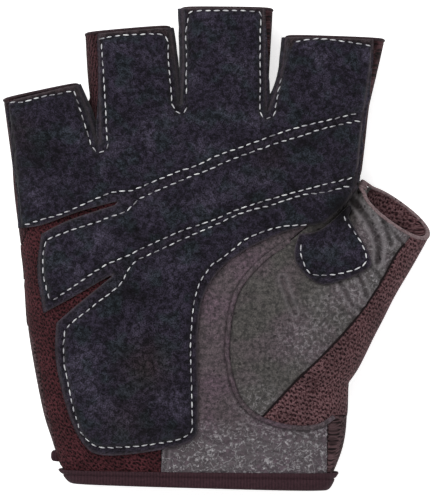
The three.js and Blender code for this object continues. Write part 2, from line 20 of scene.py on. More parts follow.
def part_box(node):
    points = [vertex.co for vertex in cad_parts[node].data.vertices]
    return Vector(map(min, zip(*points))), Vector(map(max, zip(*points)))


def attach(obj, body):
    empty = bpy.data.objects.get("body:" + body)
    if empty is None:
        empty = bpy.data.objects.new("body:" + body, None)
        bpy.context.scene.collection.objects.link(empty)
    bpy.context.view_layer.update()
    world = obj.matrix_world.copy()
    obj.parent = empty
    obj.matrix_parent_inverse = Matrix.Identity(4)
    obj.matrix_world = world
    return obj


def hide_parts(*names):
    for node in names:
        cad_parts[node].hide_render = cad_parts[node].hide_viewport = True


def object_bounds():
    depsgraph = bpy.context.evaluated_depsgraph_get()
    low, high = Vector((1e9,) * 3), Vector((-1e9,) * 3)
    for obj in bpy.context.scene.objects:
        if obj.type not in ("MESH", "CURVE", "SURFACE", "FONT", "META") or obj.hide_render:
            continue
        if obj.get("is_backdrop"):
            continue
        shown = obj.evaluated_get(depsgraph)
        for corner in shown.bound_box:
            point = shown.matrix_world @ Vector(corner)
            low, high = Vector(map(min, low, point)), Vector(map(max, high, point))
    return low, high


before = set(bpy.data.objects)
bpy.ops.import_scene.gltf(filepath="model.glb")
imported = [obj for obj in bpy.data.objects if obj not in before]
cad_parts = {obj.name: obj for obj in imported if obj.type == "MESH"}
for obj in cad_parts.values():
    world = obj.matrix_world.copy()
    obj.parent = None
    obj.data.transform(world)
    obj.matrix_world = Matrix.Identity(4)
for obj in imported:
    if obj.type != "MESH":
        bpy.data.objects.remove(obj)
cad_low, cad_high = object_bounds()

MM = 0.001
print("the solids' box in mm:", [round(side / MM, 1) for side in cad_high - cad_low])

# %% [markdown]
# ## Sizes
# Tables of shares describe the glove, each share being of its length or width. The thumb's rim curls a
# little way past the last share across, and the little finger's edge lies on the first one.

# %% Sizes worked out from the frame
RIM_LIFT = 0.24  # how far a finger curls up off the table at its rim, as a share of its depth
RIM_SIDE = 0.52  # height of its widest line, as a share of its depth

SHARES_ACROSS, SHARES_ALONG = 0.9962, 1.001  # what the shares count, in sides of the solids' box
WIDTH = (cad_high.x - cad_low.x) * SHARES_ACROSS
LENGTH = (cad_high.y - cad_low.y) * SHARES_ALONG
PALM_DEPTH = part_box("palm_mesh")[1].z
FINGER_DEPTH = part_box("side_wall_little_ring")[1].z / (1 + RIM_LIFT)
THUMB_WIDTH = WIDTH * 0.190
THUMB_DEPTH = PALM_DEPTH * 0.75
THUMB_TILT = 24  # degrees that the thumb rises at its mouth
CLEARANCE = 0.3 * MM  # between a layer and what it lies on
FABRIC = 1.2 * MM
SUEDE = 1.1 * MM


def x_of(share):
    return cad_low.x + (share + 0.5) * WIDTH


def y_of(share):
    return cad_low.y + (share + 0.5) * LENGTH


PHOTO_LEFT, PHOTO_BOTTOM = 3, 493  # pixels of the photograph where the glove's box starts
PHOTO_ACROSS, PHOTO_UP = 426, 485  # and the pixels that the shares' width and length cover


def spot(px, py):
    """The place on the table that lies under a pixel of the photograph."""
    return Vector((
        cad_low.x + (px - PHOTO_LEFT) / PHOTO_ACROSS * WIDTH,
        cad_low.y + (PHOTO_BOTTOM - py) / PHOTO_UP * LENGTH,
    ))


print("one pixel is", round((spot(1, 0) - spot(0, 0)).x / MM, 4), "mm")

# %% [markdown]
# ## The hand form
# A knitted glove takes the shape of the hand that it was pressed on. Sections through the palm, the
# four finger stalls and the thumb stall are given in short tables, and a smooth curve runs through each
# column. The sections are superellipses: 2 is an ellipse, and a higher power is boxier.

# %% Tables of sections
PALM_ROUND, BACK_ROUND, FINGER_ROUND, THUMB_ROUND = 3, 4.5, 3.2, 2.3

# left x and y, right x and y, top, side, floor (shares of the palm's depth), lobes, arch
HAND_ROWS = [
    (-0.331, -0.486, 0.252, -0.500, 0.78, 0.45, 0.10, 0.0, 0.0),
    (-0.352, -0.466, 0.269, -0.474, 0.78, 0.45, 0.09, 0.0, 0.0),
    (-0.370, -0.438, 0.286, -0.442, 0.80, 0.45, 0.07, 0.0, 0.0),
    (-0.388, -0.391, 0.303, -0.395, 0.86, 0.45, 0.02, 0.0, 0.0),
    (-0.411, -0.322, 0.310, -0.325, 0.95, 0.46, -0.03, 0.0, 0.0),
    (-0.443, -0.165, 0.314, -0.150, 1.00, 0.46, -0.05, 0.0, 0.15),
    (-0.454, -0.040, 0.325, 0.020, 0.98, 0.46, -0.05, 0.0, 0.40),
    (-0.474, 0.100, 0.350, 0.205, 0.94, 0.46, -0.01, 0.10, 0.80),
    (-0.479, 0.150, 0.359, 0.280, 0.93, 0.47, 0.04, 0.40, 0.95),
    (-0.480, 0.176, 0.363, 0.306, 0.92, 0.48, 0.06, 1.0, 1.0),
]
CROTCHES = [(0, 0.176), (0.242, 0.222), (0.469, 0.302), (0.713, 0.290), (1, 0.306)]  # across, y
# left x and y, right x and y, halfway up each stall and at its rim
FINGERS = [
    ((-0.491, 0.250, -0.298, 0.286), (-0.500, 0.310, -0.324, 0.343)),
    ((-0.299, 0.330, -0.093, 0.372), (-0.308, 0.446, -0.108, 0.461)),
    ((-0.079, 0.393, 0.127, 0.390), (-0.082, 0.499, 0.134, 0.497)),
    ((0.152, 0.358, 0.378, 0.362), (0.164, 0.441, 0.397, 0.434)),
]
# x, y, width, depth, side (a share of the palm's depth), turn in degrees, tilt
THUMB_ROWS = [
    (0.176, -0.262, 1.36, 1.18, 0.50, 12, 0.0),
    (0.225, -0.205, 1.26, 1.26, 0.50, 22, 0.1),
    (0.276, -0.135, 1.15, 1.22, 0.52, 30, 0.3),
    (0.307, -0.092, 1.10, 1.17, 0.54, 33, 0.45),
    (0.340, -0.042, 1.06, 1.11, 0.56, 34, 0.6),
    (0.386, 0.020, 1.02, 1.04, 0.60, 36, 0.85),
    (0.424, 0.077, 1.00, 1.00, 0.63, 36, 1.0),
]
ROOT_REACH = 0.6  # how far inside the palm a stall starts, in the steps of FINGERS
ROOT_SINK = 3.2 * MM  # and how far below the palm's surface it is there
OVERRUN = 6 * MM  # the form runs this far past each mouth, where it is then cut open


def smooth_rows(rows, steps):
    """The rows of a table with more between them, on smooth curves through its columns."""
    table = np.array(rows, float)
    made = []
    for at in np.linspace(0, len(table) - 1, (len(table) - 1) * steps + 1):
        i = min(int(at), len(table) - 2)
        u = at - i
        before, here, after, beyond = (table[np.clip(i + k, 0, len(table) - 1)] for k in (-1, 0, 1, 2))
        out, into = (after - before) / 2, (beyond - here) / 2
        made.append(
            (2 * here - 2 * after + out + into) * u**3
            + (3 * after - 3 * here - 2 * out - into) * u**2 + out * u + here
        )
    return made


def crown(across, power):
    return (1 - np.abs(across) ** power) ** (1 / power)


def ring(front, back):
    """Both sides of a section as one loop of points, from its left edge round to it again."""
    return np.concatenate([front, back[-2:0:-1]])


def carried_on(rings, distance):
    """The last ring moved on in the direction that the sleeve has there."""
    way = rings[-1].mean(0) - rings[-2].mean(0)
    return rings[-1] + way / np.linalg.norm(way) * distance


# %% Sections of the palm
LOBE_STEPS = 22


def arch_at(across):
    """How far the line of the finger crotches rises over a straight line between its ends."""
    places, heights = np.array(CROTCHES).T
    i = np.clip(np.searchsorted(places, across, side="left") - 1, 0, len(places) - 2)
    t = (across - places[i]) / (places[i + 1] - places[i])
    t = t * t * (3 - 2 * t)
    straight = heights[0] + (heights[-1] - heights[0]) * across
    return heights[i] + (heights[i + 1] - heights[i]) * t - straight


def palm_ring(row):
    left_x, left_y, right_x, right_y, top, side, floor, lobes, arch = row
    in_lobe = -np.cos(np.pi * np.arange(LOBE_STEPS + 1) / LOBE_STEPS)
    across, lobe = [], []
    for k in range(4):
        start, end = CROTCHES[k][0], CROTCHES[k + 1][0]
        first = 1 if k else 0
        across.append(start + (end - start) * (in_lobe[first:] + 1) / 2)
        lobe.append(crown(in_lobe[first:], FINGER_ROUND))
    across, lobe = np.concatenate(across), np.concatenate(lobe)
    whole = 2 * across - 1
    over = crown(whole, PALM_ROUND) * (1 - lobes) + lobe * lobes
    under = crown(whole, BACK_ROUND) * (1 - lobes) + lobe * lobes
    x = x_of(left_x + (right_x - left_x) * across)
    y = y_of(left_y + (right_y - left_y) * across + arch * arch_at(across))
    front = np.stack([x, y, (side + (top - side) * over) * PALM_DEPTH], 1)
    back = np.stack([x, y, np.maximum((side - (side - floor) * under) * PALM_DEPTH, 0)], 1)
    return ring(front, back)


palm_rings = [palm_ring(row) for row in smooth_rows(HAND_ROWS, 6)]
palm_rings.insert(0, carried_on(palm_rings[1::-1], OVERRUN))
print("sections of the palm:", len(palm_rings), "of", len(palm_rings[0]), "points")

# %% Sections of the fingers
knuckles = HAND_ROWS[-1]


def finger_rings(index):
    first, last = CROTCHES[index], CROTCHES[index + 1]
    reach = knuckles[2] - knuckles[0]
    root = np.array([knuckles[0] + reach * first[0], first[1], knuckles[0] + reach * last[0], last[1]])
    mid, rim = np.array(FINGERS[index])
    edges = smooth_rows([2 * root - mid, root, mid, rim], 10)
    in_lobe = -np.cos(np.pi * np.arange(2 * LOBE_STEPS + 1) / (2 * LOBE_STEPS))
    lobe = crown(in_lobe, FINGER_ROUND)
    rings = []
    for step, (left_x, left_y, right_x, right_y) in enumerate(edges):
        along = step / 10 - 1
        if along < -ROOT_REACH:
            continue
        sink = ROOT_SINK * max(-along, 0) / ROOT_REACH
        up = max(along, 0) / 2
        top = (1 - up) * knuckles[4] * PALM_DEPTH + up * (1 + RIM_LIFT) * FINGER_DEPTH
        side = (1 - up) * knuckles[5] * PALM_DEPTH + up * (RIM_SIDE + RIM_LIFT) * FINGER_DEPTH
        floor = (1 - up) * knuckles[6] * PALM_DEPTH + up * RIM_LIFT * FINGER_DEPTH
        across = (in_lobe + 1) / 2
        x = (x_of(left_x) + sink) * (1 - across) + (x_of(right_x) - sink) * across
        y = y_of(left_y) * (1 - across) + y_of(right_y) * across
        front = np.stack([x, y, side + (top - side - sink) * lobe], 1)
        back = np.stack([x, y, np.maximum(side - (side - floor - sink) * lobe, 0)], 1)
        rings.append(ring(front, back))
    rings.append(carried_on(rings, OVERRUN))
    return rings


# %% Sections of the thumb
THUMB_STEPS = 44


def thumb_frame(row):
    """Middle of a thumb section, the way across it, the way ahead through it and the way up."""
    x, y, _, _, side, turn, tilt = row
    turn, tilt = math.radians(turn), math.radians(tilt * THUMB_TILT)
    across = np.array([math.cos(turn), -math.sin(turn), 0])
    ahead = np.array([math.sin(turn) * math.cos(tilt), math.cos(turn) * math.cos(tilt), math.sin(tilt)])
    return np.array([x_of(x), y_of(y), side * PALM_DEPTH]), across, ahead, np.cross(across, ahead)


def thumb_ring(row):
    middle, across, _, up = thumb_frame(row)
    t = -np.cos(np.pi * np.arange(THUMB_STEPS + 1) / THUMB_STEPS)[:, None]
    base = middle + across * t * row[2] * THUMB_WIDTH / 2
    lift = up * crown(t, THUMB_ROUND) * row[3] * THUMB_DEPTH / 2
    back = base - lift
    back[:, 2] = np.maximum(back[:, 2], 0)
    return ring(base + lift, back)


thumb_rings = [thumb_ring(row) for row in smooth_rows(THUMB_ROWS, 5)]
thumb_rings.append(carried_on(thumb_rings, OVERRUN))
print("sections of the thumb:", len(thumb_rings))

# %% [markdown]
# Each set of sections becomes a closed sleeve. A grid operator makes the sheet, its points are moved to
# the sections, the seam is merged and the two ends are filled. A voxel remesh then melts the six
# sleeves into one skin, and a little smoothing fills the angles between them, as cloth does.

# %% Sleeves melted into one form
VOXEL = 0.7 * MM  # for the cloth
FINE_VOXEL = 0.5 * MM  # for the suede and the leather, which carry stitched channels and creases
SOFTENING = 7


def loft(bm, rings):
    """A closed tube through rings of equally many points."""
    columns = len(rings[0])
    sheet = bmesh.ops.create_grid(bm, x_segments=columns, y_segments=len(rings) - 1, size=1)["verts"]
    for i, v in enumerate(sheet):
        v.co = rings[i // (columns + 1)][i % (columns + 1) % columns]
    bmesh.ops.remove_doubles(bm, verts=sheet, dist=0.001 * MM)
    sheet = [v for v in sheet if v.is_valid]
    bmesh.ops.holes_fill(bm, edges=list({e for v in sheet for e in v.link_edges if e.is_boundary}))


def linked(made):
    bpy.context.scene.collection.objects.link(made)
    return made


def new_object(name, bm):
    """An object of that mesh, with every face smooth and pointing as it does."""
    mesh = bpy.data.meshes.new(name)
    bm.to_mesh(mesh)
    bm.free()
    mesh.shade_smooth()
    return linked(bpy.data.objects.new(name, mesh))


def finished_mesh(made):
    """The object's mesh with its modifiers applied."""
    graph = bpy.context.evaluated_depsgraph_get()
    return bpy.data.meshes.new_from_object(made.evaluated_get(graph))


def points_of(mesh):
    flat = np.zeros(len(mesh.vertices) * 3)
    mesh.vertices.foreach_get("co", flat)
    return flat.reshape(-1, 3)


def hand_form(voxel):
    """The whole hand as one closed skin of faces about a voxel wide."""
    bm = bmesh.new()
    loft(bm, palm_rings)
    for index in range(4):
        loft(bm, finger_rings(index))
    loft(bm, thumb_rings)
    bmesh.ops.recalc_face_normals(bm, faces=bm.faces)
    sleeves = new_object("hand_form", bm)
    melt = sleeves.modifiers.new("melt", "REMESH")
    melt.mode = "VOXEL"
    melt.voxel_size = voxel
    soften = sleeves.modifiers.new("soften", "SMOOTH")
    soften.factor = 0.5
    soften.iterations = round(SOFTENING * VOXEL / voxel)
    form = finished_mesh(sleeves)
    bpy.data.objects.remove(sleeves)
    return form


cloth_form = hand_form(VOXEL)
hide_form = hand_form(FINE_VOXEL)
print("faces of the forms:", len(cloth_form.polygons), "and", len(hide_form.polygons))

# %% [markdown]
# ## Opening the mouths
# The form is closed past every mouth. A cut by a plane at each rim opens it. Only the faces of the one
# stall are given to the operator, so its neighbours stay whole.

# %% Cuts at the rims
WRIST_SHORT = 1.4 * MM  # the binding covers this much past the cloth's own edge
CUT_REACH = 2 * MM  # faces this far before a mouth's plane still go to the operator
THUMB_REACH = 0.62 * THUMB_WIDTH  # what lies this near the thumb's middle is its mouth's alone


def in_place(x, y, further=0):
    return Vector((x_of(x), y_of(y) + further, 0))


def finger_mouths():
    """For each finger a point on its mouth's plane, the way out of it, and how wide the mouth is."""
    for _, (left_x, left_y, right_x, right_y) in FINGERS:
        left, right = in_place(left_x, left_y), in_place(right_x, right_y)
        yield left, Vector((left.y - right.y, right.x - left.x, 0)).normalized(), (right - left).length


def cut_open(bm, faces, point, way):
    """Takes away what lies past a plane, of the given faces."""
    faces = [f for f in faces if (f.verts[0].co - point).dot(way) > -CUT_REACH]
    geom = list({v for f in faces for v in f.verts}) + list({e for f in faces for e in f.edges}) + faces
    bmesh.ops.bisect_plane(bm, geom=geom, dist=1e-8, plane_co=point, plane_no=way, clear_outer=True)


def open_mouths(bm):
    rims = [rim for _, rim in FINGERS]
    for k, (left, way, _) in enumerate(finger_mouths()):
        low = x_of((rims[k - 1][2] + rims[k][0]) / 2) if k else -1
        high = x_of((rims[k][2] + rims[k + 1][0]) / 2) if k < 3 else 1
        cut_open(bm, [f for f in bm.faces if low < f.verts[0].co.x < high], left, way)
    middle, across, ahead, _ = (Vector(part) for part in thumb_frame(THUMB_ROWS[-1]))
    near = [f for f in bm.faces if abs((f.verts[0].co - middle).dot(across)) < THUMB_REACH]
    cut_open(bm, near, middle, ahead)
    left, right = (in_place(*HAND_ROWS[0][k:k + 2], WRIST_SHORT) for k in (0, 2))
    cut_open(bm, bm.faces, left, Vector((right.y - left.y, left.x - right.x, 0)))


# %% [markdown]
# ## Seam lines
# The outlines of the panels are seen from the palm side, as shares again. They run smoothly through
# their points, apart from those with a third entry, which are corners.

# %% Outlines of the suede
LITTLE_OUTER = [(-0.488, 0.306), (-0.473, 0.228), (-0.466, 0.145), (-0.459, 0.047)]
LITTLE_INNER = [(-0.326, 0.341), (-0.301, 0.288), (-0.278, 0.222)]
RING_OUTER = [(-0.274, 0.446), (-0.271, 0.310), (-0.271, 0.222)]
RING_INNER = [(-0.108, 0.459), (-0.094, 0.372), (-0.087, 0.302)]
MIDDLE_OUTER = [(-0.079, 0.499), (-0.077, 0.393), (-0.082, 0.302)]
MIDDLE_INNER = [(0.110, 0.499), (0.114, 0.393), (0.117, 0.290)]
INDEX_OUTER = [(0.164, 0.439), (0.152, 0.358), (0.123, 0.290)]
INDEX_INNER = [(0.366, 0.434), (0.358, 0.362), (0.340, 0.250), (0.333, 0.190)]
HEEL_PAD = [
    (0.328, 0.131, 1), (0.295, 0.090), (0.250, 0.056, 1), (0.160, 0.038), (0.062, -0.002),
    (-0.010, -0.060), (-0.041, -0.145), (-0.042, -0.330), (-0.055, -0.388), (-0.155, -0.412),
    (-0.262, -0.420), (-0.308, -0.397), (-0.347, -0.321), (-0.372, -0.220), (-0.370, -0.148, 1),
]
LOWER_SLIT = [
    (-0.329, -0.116), (-0.246, -0.056, 1), (-0.240, -0.049, 1), (-0.250, -0.053, 1), (-0.326, -0.092),
]
MIDDLE_PAD = [(-0.399, -0.127, 1), (-0.414, -0.040), (-0.406, 0.034, 1)]
UPPER_SLIT = [
    (-0.343, 0.062), (-0.236, 0.093, 1), (-0.230, 0.099, 1), (-0.238, 0.099, 1), (-0.319, 0.080),
    (-0.408, 0.052),
]
PATCH_OUTLINE = [
    (0.193, 0.034, 1), (0.246, 0.044), (0.309, 0.094, 1), (0.318, 0.058), (0.358, -0.008),
    (0.350, -0.040), (0.250, -0.071), (0.194, -0.036), (0.182, -0.003),
]

# %% Outlines of the cloth and the leather
WELT_LINE = [
    (0.176, 0.022), (0.103, -0.024), (0.045, -0.092), (0.026, -0.190), (0.032, -0.248), (0.053, -0.303),
    (0.090, -0.338), (0.145, -0.358), (0.200, -0.365), (0.245, -0.360), (0.279, -0.341),
]
THUMB_SEAM = [
    (0.520, 0.110), (0.453, 0.026), (0.423, -0.005), (0.376, -0.079), (0.324, -0.143), (0.256, -0.209),
    (0.190, -0.265), (0.108, -0.342),
]
THUMB_WEB = (0.333, 0.145)
THUMB_CREASE = [(0.176, 0.022), (0.225, 0.058), (0.290, 0.098), (0.318, 0.124), (0.340, 0.150)]
LEATHER_UNDER = [(-0.128, -0.330), (-0.080, -0.100), (-0.020, -0.010), (0.120, 0.058), (0.225, 0.070)]
UNDER_CREASE = [(0.338, 0.125), (0.295, 0.085), (0.230, 0.045)]
LEATHER_CORNER = (0.262, -0.352)
BACK_WRAP = [
    (-0.375, -1), (-0.378, -0.400), (-0.401, -0.323), (-0.427, -0.193), (-0.460, -0.120), (-1, -0.110),
]
SIDE_WALL_FOOT = 0.011
SEAM_ALLOWANCE = 2.4 * MM  # side walls run this far in under the edge of the suede
FAR = 1  # a share well outside the glove


def on_table(shares):
    return np.array([(x_of(x), y_of(y)) for x, y, *_ in shares])


def cornered(edge):
    return [(*p, 1) if i in (0, len(edge) - 1) else p for i, p in enumerate(edge)]


def traced(shares, closed=False, steps=4):
    """Points along an outline: straight into its corners and smooth between them."""
    if closed:
        start = next(i for i, p in enumerate(shares) if len(p) > 2)
        shares = shares[start:] + shares[:start + 1]
    runs, run = [], [shares[0]]
    for i, p in enumerate(shares[1:], 1):
        run.append(p)
        if len(p) > 2 or i == len(shares) - 1:
            runs.append(run)
            run = [p]
    line = []
    for run in runs:
        line += smooth_rows(on_table(run), steps)[:-1] if len(run) > 2 else list(on_table(run))[:-1]
    if not closed:
        line.append(on_table(shares)[-1])
    return np.array(line)


suede_line = traced([
    *cornered(LITTLE_INNER), *cornered(RING_OUTER[::-1]), *cornered(RING_INNER),
    *cornered(MIDDLE_OUTER[::-1]), *cornered(MIDDLE_INNER), *cornered(INDEX_OUTER[::-1]),
    *cornered(INDEX_INNER), *HEEL_PAD, *LOWER_SLIT, *MIDDLE_PAD, *UPPER_SLIT, *cornered(LITTLE_OUTER[::-1]),
], closed=True)
patch_line = traced(PATCH_OUTLINE, closed=True)
welt_line, thumb_seam, crease_line = traced(WELT_LINE), traced(THUMB_SEAM), traced(THUMB_CREASE)
print("points round the suede:", len(suede_line))

# %% [markdown]
# ## Cutting out the panels
# A real panel is cut flat, sewn to its neighbours and pulled over a form. Here the form's skin is cut in
# place instead. Every edge that crosses an outline, seen from above, is split where it crosses, or its
# nearer end is drawn onto the line, and the faces between are split from one such point to the next. A
# boolean would also cut it, but slowly, and it leaves slivers. Each face then belongs to the first
# panel whose outline holds it.

# %% Cutting along an outline
SNAP = 0.15  # an edge that crosses this near one of its ends, as a share, is drawn there instead of split


def inside(points, outline):
    """Which points lie inside an outline, seen from above."""
    held = np.zeros(len(points), bool)
    low, high = outline.min(0), outline.max(0)
    near = np.flatnonzero(((points[:, :2] >= low) & (points[:, :2] <= high)).all(1))
    x, y = points[near, 0:1], points[near, 1:2]
    ends = np.roll(outline, -1, 0)
    crossed = (outline[:, 1] > y) != (ends[:, 1] > y)
    with np.errstate(divide="ignore", invalid="ignore"):
        slant = (ends[:, 0] - outline[:, 0]) / (ends[:, 1] - outline[:, 1])
        at = outline[:, 0] + (y - outline[:, 1]) * slant
    held[near] = (crossed & (x < at)).sum(1) % 2 == 1
    return held


def crossing_share(a, b, outline):
    """How far from a to b the outline is crossed first, as a share, for many pairs of points."""
    start, way = outline, np.roll(outline, -1, 0) - outline
    edge = (b - a)[:, None, :]
    gap = start[None] - a[:, None, :]
    turn = edge[..., 0] * way[None, :, 1] - edge[..., 1] * way[None, :, 0]
    with np.errstate(divide="ignore", invalid="ignore"):
        share = (gap[..., 0] * way[None, :, 1] - gap[..., 1] * way[None, :, 0]) / turn
        along = (gap[..., 0] * edge[..., 1] - gap[..., 1] * edge[..., 0]) / turn
    share[~((along >= 0) & (along <= 1) & (share >= 0) & (share <= 1))] = 2
    return share.min(1)


def cut_along(bm, outline):
    """Splits faces so that edges run along a closed outline."""
    mesh = bpy.data.meshes.new("read")
    bm.to_mesh(mesh)
    pairs = np.zeros(len(mesh.edges) * 2, int)
    mesh.edges.foreach_get("vertices", pairs)
    pairs = pairs.reshape(-1, 2)
    held = inside(points_of(mesh), outline)
    bpy.data.meshes.remove(mesh)
    bm.edges.ensure_lookup_table()
    edges = [bm.edges[i] for i in np.flatnonzero(held[pairs[:, 0]] != held[pairs[:, 1]])]
    if not edges:
        return
    ends = np.array([(e.verts[0].co.xy[:], e.verts[1].co.xy[:]) for e in edges])
    shares = crossing_share(ends[:, 0], ends[:, 1], outline)
    on_line = set()
    for e, share in zip(edges, shares):
        end = 0 if share < SNAP else 1 if 1 - SNAP < share <= 1 else None
        if end is not None and not e.verts[end] in on_line:
            e.verts[end].co = e.verts[0].co.lerp(e.verts[1].co, share)
            on_line.add(e.verts[end])
    for e, share in zip(edges, shares):
        if share <= 1 and not on_line & set(e.verts):
            on_line.add(bmesh.utils.edge_split(e, e.verts[0], share)[1])
    for f in {f for v in on_line for f in v.link_faces}:
        corners = [v for v in f.verts if v in on_line]
        if len(corners) == 2 and not any(corners[1] in e.verts for e in corners[0].link_edges):
            bmesh.utils.face_split(f, *corners)


def cut_level(bm, height):
    near = [f for f in bm.faces if abs(f.verts[0].co.z - height) < 2 * MM]
    geom = list({v for f in near for v in f.verts}) + list({e for f in near for e in f.edges}) + near
    bmesh.ops.bisect_plane(bm, geom=geom, dist=1e-7, plane_co=(0, 0, height), plane_no=(0, 0, 1))


def centres_of(bm):
    return np.array([f.calc_center_median()[:] for f in bm.faces])


def islands(bm):
    """The faces in groups that hang together, the largest first."""
    left, groups = set(bm.faces), []
    while left:
        group, front = set(), [left.pop()]
        while front:
            f = front.pop()
            group.add(f)
            beside = {g for e in f.edges for g in e.link_faces} & left
            left -= beside
            front += beside
        groups.append(group)
    return sorted(groups, key=len, reverse=True)


def only(bm, wanted):
    """A copy of the mesh with its wanted faces, without crumbs."""
    part = bm.copy()
    part.faces.ensure_lookup_table()
    bmesh.ops.delete(part, geom=[part.faces[i] for i in np.flatnonzero(~wanted)], context="FACES")
    crumbs = [f for group in islands(part)[1:] for f in group]
    bmesh.ops.delete(part, geom=crumbs, context="FACES")
    bmesh.ops.delete(part, geom=[v for v in part.verts if not v.link_faces], context="VERTS")
    return part


# %% Outlines of the panels
halfway = knuckles[5] * PALM_DEPTH
side_seam = (RIM_LIFT + 0.30) * FINGER_DEPTH


def moved_across(edge, distance):
    return on_table(edge) + (distance, 0)


def wall_between(left_edge, right_edge):
    """The side wall between two fingers, which runs in under the suede on both."""
    left, right = moved_across(left_edge, -SEAM_ALLOWANCE), moved_across(right_edge, SEAM_ALLOWANCE)
    foot = (left[-1] + right[-1]) / 2 - (0, SEAM_ALLOWANCE)
    over = y_of(FAR)
    return np.array([(left[0][0], over), *left, foot, *right[::-1], (right[0][0], over)])


def outer_wall(edge, foot, direction):
    """The wall along the outer side of the hand, from a finger's rim to its foot."""
    inner = moved_across(edge, -direction * SEAM_ALLOWANCE)
    beyond, over = direction * WIDTH, y_of(FAR)
    return np.array([
        (beyond, over), (inner[0][0], over), *inner,
        (inner[-1][0] + direction * SEAM_ALLOWANCE, y_of(foot)), (beyond, y_of(foot)),
    ])


mound_end = int(np.argmin(np.linalg.norm(welt_line - thumb_seam[-1], axis=1)))
crotch_points = [(knuckles[0] + (knuckles[2] - knuckles[0]) * across, y) for across, y in CROTCHES]
welt_end = WELT_LINE[-1]
leather_corner = on_table([LEATHER_CORNER])[0]
PANELS = {  # name: outline, lowest and highest; a face goes to the first that holds it
    "side_wall_little": (outer_wall(LITTLE_OUTER, SIDE_WALL_FOOT, -1), side_seam, 1),
    "side_wall_little_ring": (wall_between(LITTLE_INNER, RING_OUTER), side_seam, 1),
    "side_wall_ring_middle": (wall_between(RING_INNER, MIDDLE_OUTER), side_seam, 1),
    "side_wall_middle_index": (wall_between(MIDDLE_INNER, INDEX_OUTER), side_seam, 1),
    "side_wall_index": (outer_wall(INDEX_INNER, THUMB_WEB[1], 1), side_seam, 1),
    "thumb_leather": (np.concatenate([
        welt_line[:mound_end + 1], thumb_seam[::-1],
        on_table([(FAR, THUMB_SEAM[0][1]), (FAR, THUMB_WEB[1])]), crease_line[::-1][:-1],
    ]), halfway, 1),
    "thumb_mesh": (np.concatenate([
        thumb_seam, welt_line[mound_end + 1:], on_table([(FAR, welt_end[1]), (FAR, THUMB_SEAM[0][1])]),
    ]), halfway, 1),
    "thumb_mesh_back": (on_table([
        (HAND_ROWS[4][2], welt_end[1]), (FAR, welt_end[1]), (FAR, THUMB_WEB[1]), THUMB_WEB,
    ]), -1, halfway),
    "palm_leather": (np.concatenate([
        welt_line[welt_line[:, 0] < leather_corner[0]], [leather_corner],
        on_table([(LEATHER_CORNER[0], -FAR), (LEATHER_UNDER[0][0], -FAR), *LEATHER_UNDER]),
        on_table([THUMB_WEB, *UNDER_CREASE]),  # runs in under the thumb's leather, which is sorted first
    ]), halfway, 1),
    "palm_mesh": (on_table([
        (-FAR, CROTCHES[0][1]), *crotch_points, (FAR, CROTCHES[4][1]), (FAR, THUMB_WEB[1]),
        *LEATHER_UNDER[::-1], (LEATHER_UNDER[0][0], -FAR), *BACK_WRAP,
    ]), halfway, 1),
}
panel_lines = [outline for outline, _, _ in PANELS.values()]


# %% The form's skin sorted into panels
def closed_line(line):
    return np.concatenate([line, line[:1]])


def sorted_faces(bm):
    """For each face the number of its panel, with the back last and -1 on the fingers' fronts."""
    centres = centres_of(bm)
    panel = np.full(len(centres), -2)
    for number, (outline, low, high) in enumerate(PANELS.values()):
        free = (panel == -2) & (centres[:, 2] > low) & (centres[:, 2] < high)
        which = np.flatnonzero(free)
        panel[which[inside(centres[which], outline)]] = number
    fronts = (panel == -2) & (centres[:, 2] > side_seam) & (centres[:, 1] > y_of(CROTCHES[0][1]))
    panel[fronts] = -1
    panel[panel == -2] = len(PANELS)
    return panel


def cut_form(form, lines, low):
    """The form's skin above a height, open at its mouths and split along the lines."""
    bm = bmesh.new()
    bm.from_mesh(form)
    bmesh.ops.delete(bm, geom=[v for v in bm.verts if v.co.z < low], context="VERTS")
    open_mouths(bm)
    for line in lines:
        cut_along(bm, line)
    return bm


cloth = cut_form(cloth_form, panel_lines, -MM)
cut_level(cloth, halfway)
cut_level(cloth, side_seam)
cloth_panel = sorted_faces(cloth)
names = [*PANELS, "back_panel"]
print({name: int((cloth_panel == i).sum()) for i, name in enumerate(names)})

# %% [markdown]
# A panel's edge is tucked in at its seam: the outermost points sink a little and draw back, so that two
# panels meet in a soft groove, as sewn cloth does. Then the wall gets its thickness inwards.

# %% Panels with tucked edges and a wall
TUCK = 0.22 * MM  # how deep an edge sinks at a seam, and the next row of points by a third of it
DRAW_BACK = 0.08 * MM  # and how far it draws back from its neighbour


def tuck_edges(bm):
    bm.normal_update()
    rim = [v for v in bm.verts if v.is_boundary]
    second = {e.other_vert(v) for v in rim for e in v.link_edges} - set(rim)
    moves = {}
    for v in rim:
        inner = [e.other_vert(v).co for e in v.link_edges if not e.is_boundary]
        back = sum(inner, Vector()) / len(inner) - v.co if inner else Vector()
        moves[v] = -v.normal * TUCK + back.normalized() * DRAW_BACK
    for v in second:
        moves[v] = -v.normal * TUCK * 0.35
    for v, move in moves.items():
        v.co += move


def panel_object(name, bm, thickness, offset=-1):
    """A panel with its wall, inwards from the skin or outwards on it."""
    made = new_object(name, bm)
    wall = made.modifiers.new("wall", "SOLIDIFY")
    wall.thickness = thickness
    wall.offset = offset
    wall.use_even_offset = False
    return made


def placed(made, node=None):
    """The piece rides the glove's one body, and takes the place of a solid if it has one."""
    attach(made, "root")
    if node:
        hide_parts(node)
    return made


# %% [markdown]
# A knit follows the cloth and not the room, so each knitted panel carries a flat map of itself. Across
# the hand one reads x, along it y, and where the cloth turns down a side the drop is added to x, as if
# the panel were laid out flat again. The map is in millimetres, so a pattern's scale is its real size.

# %% Flat maps of the panels
COURSE_SLOPE = 0.22  # the knit's courses run down to the right by this much
BACK_TURN = 2  # the back turns in again over the sides, so height counts for more than the way across


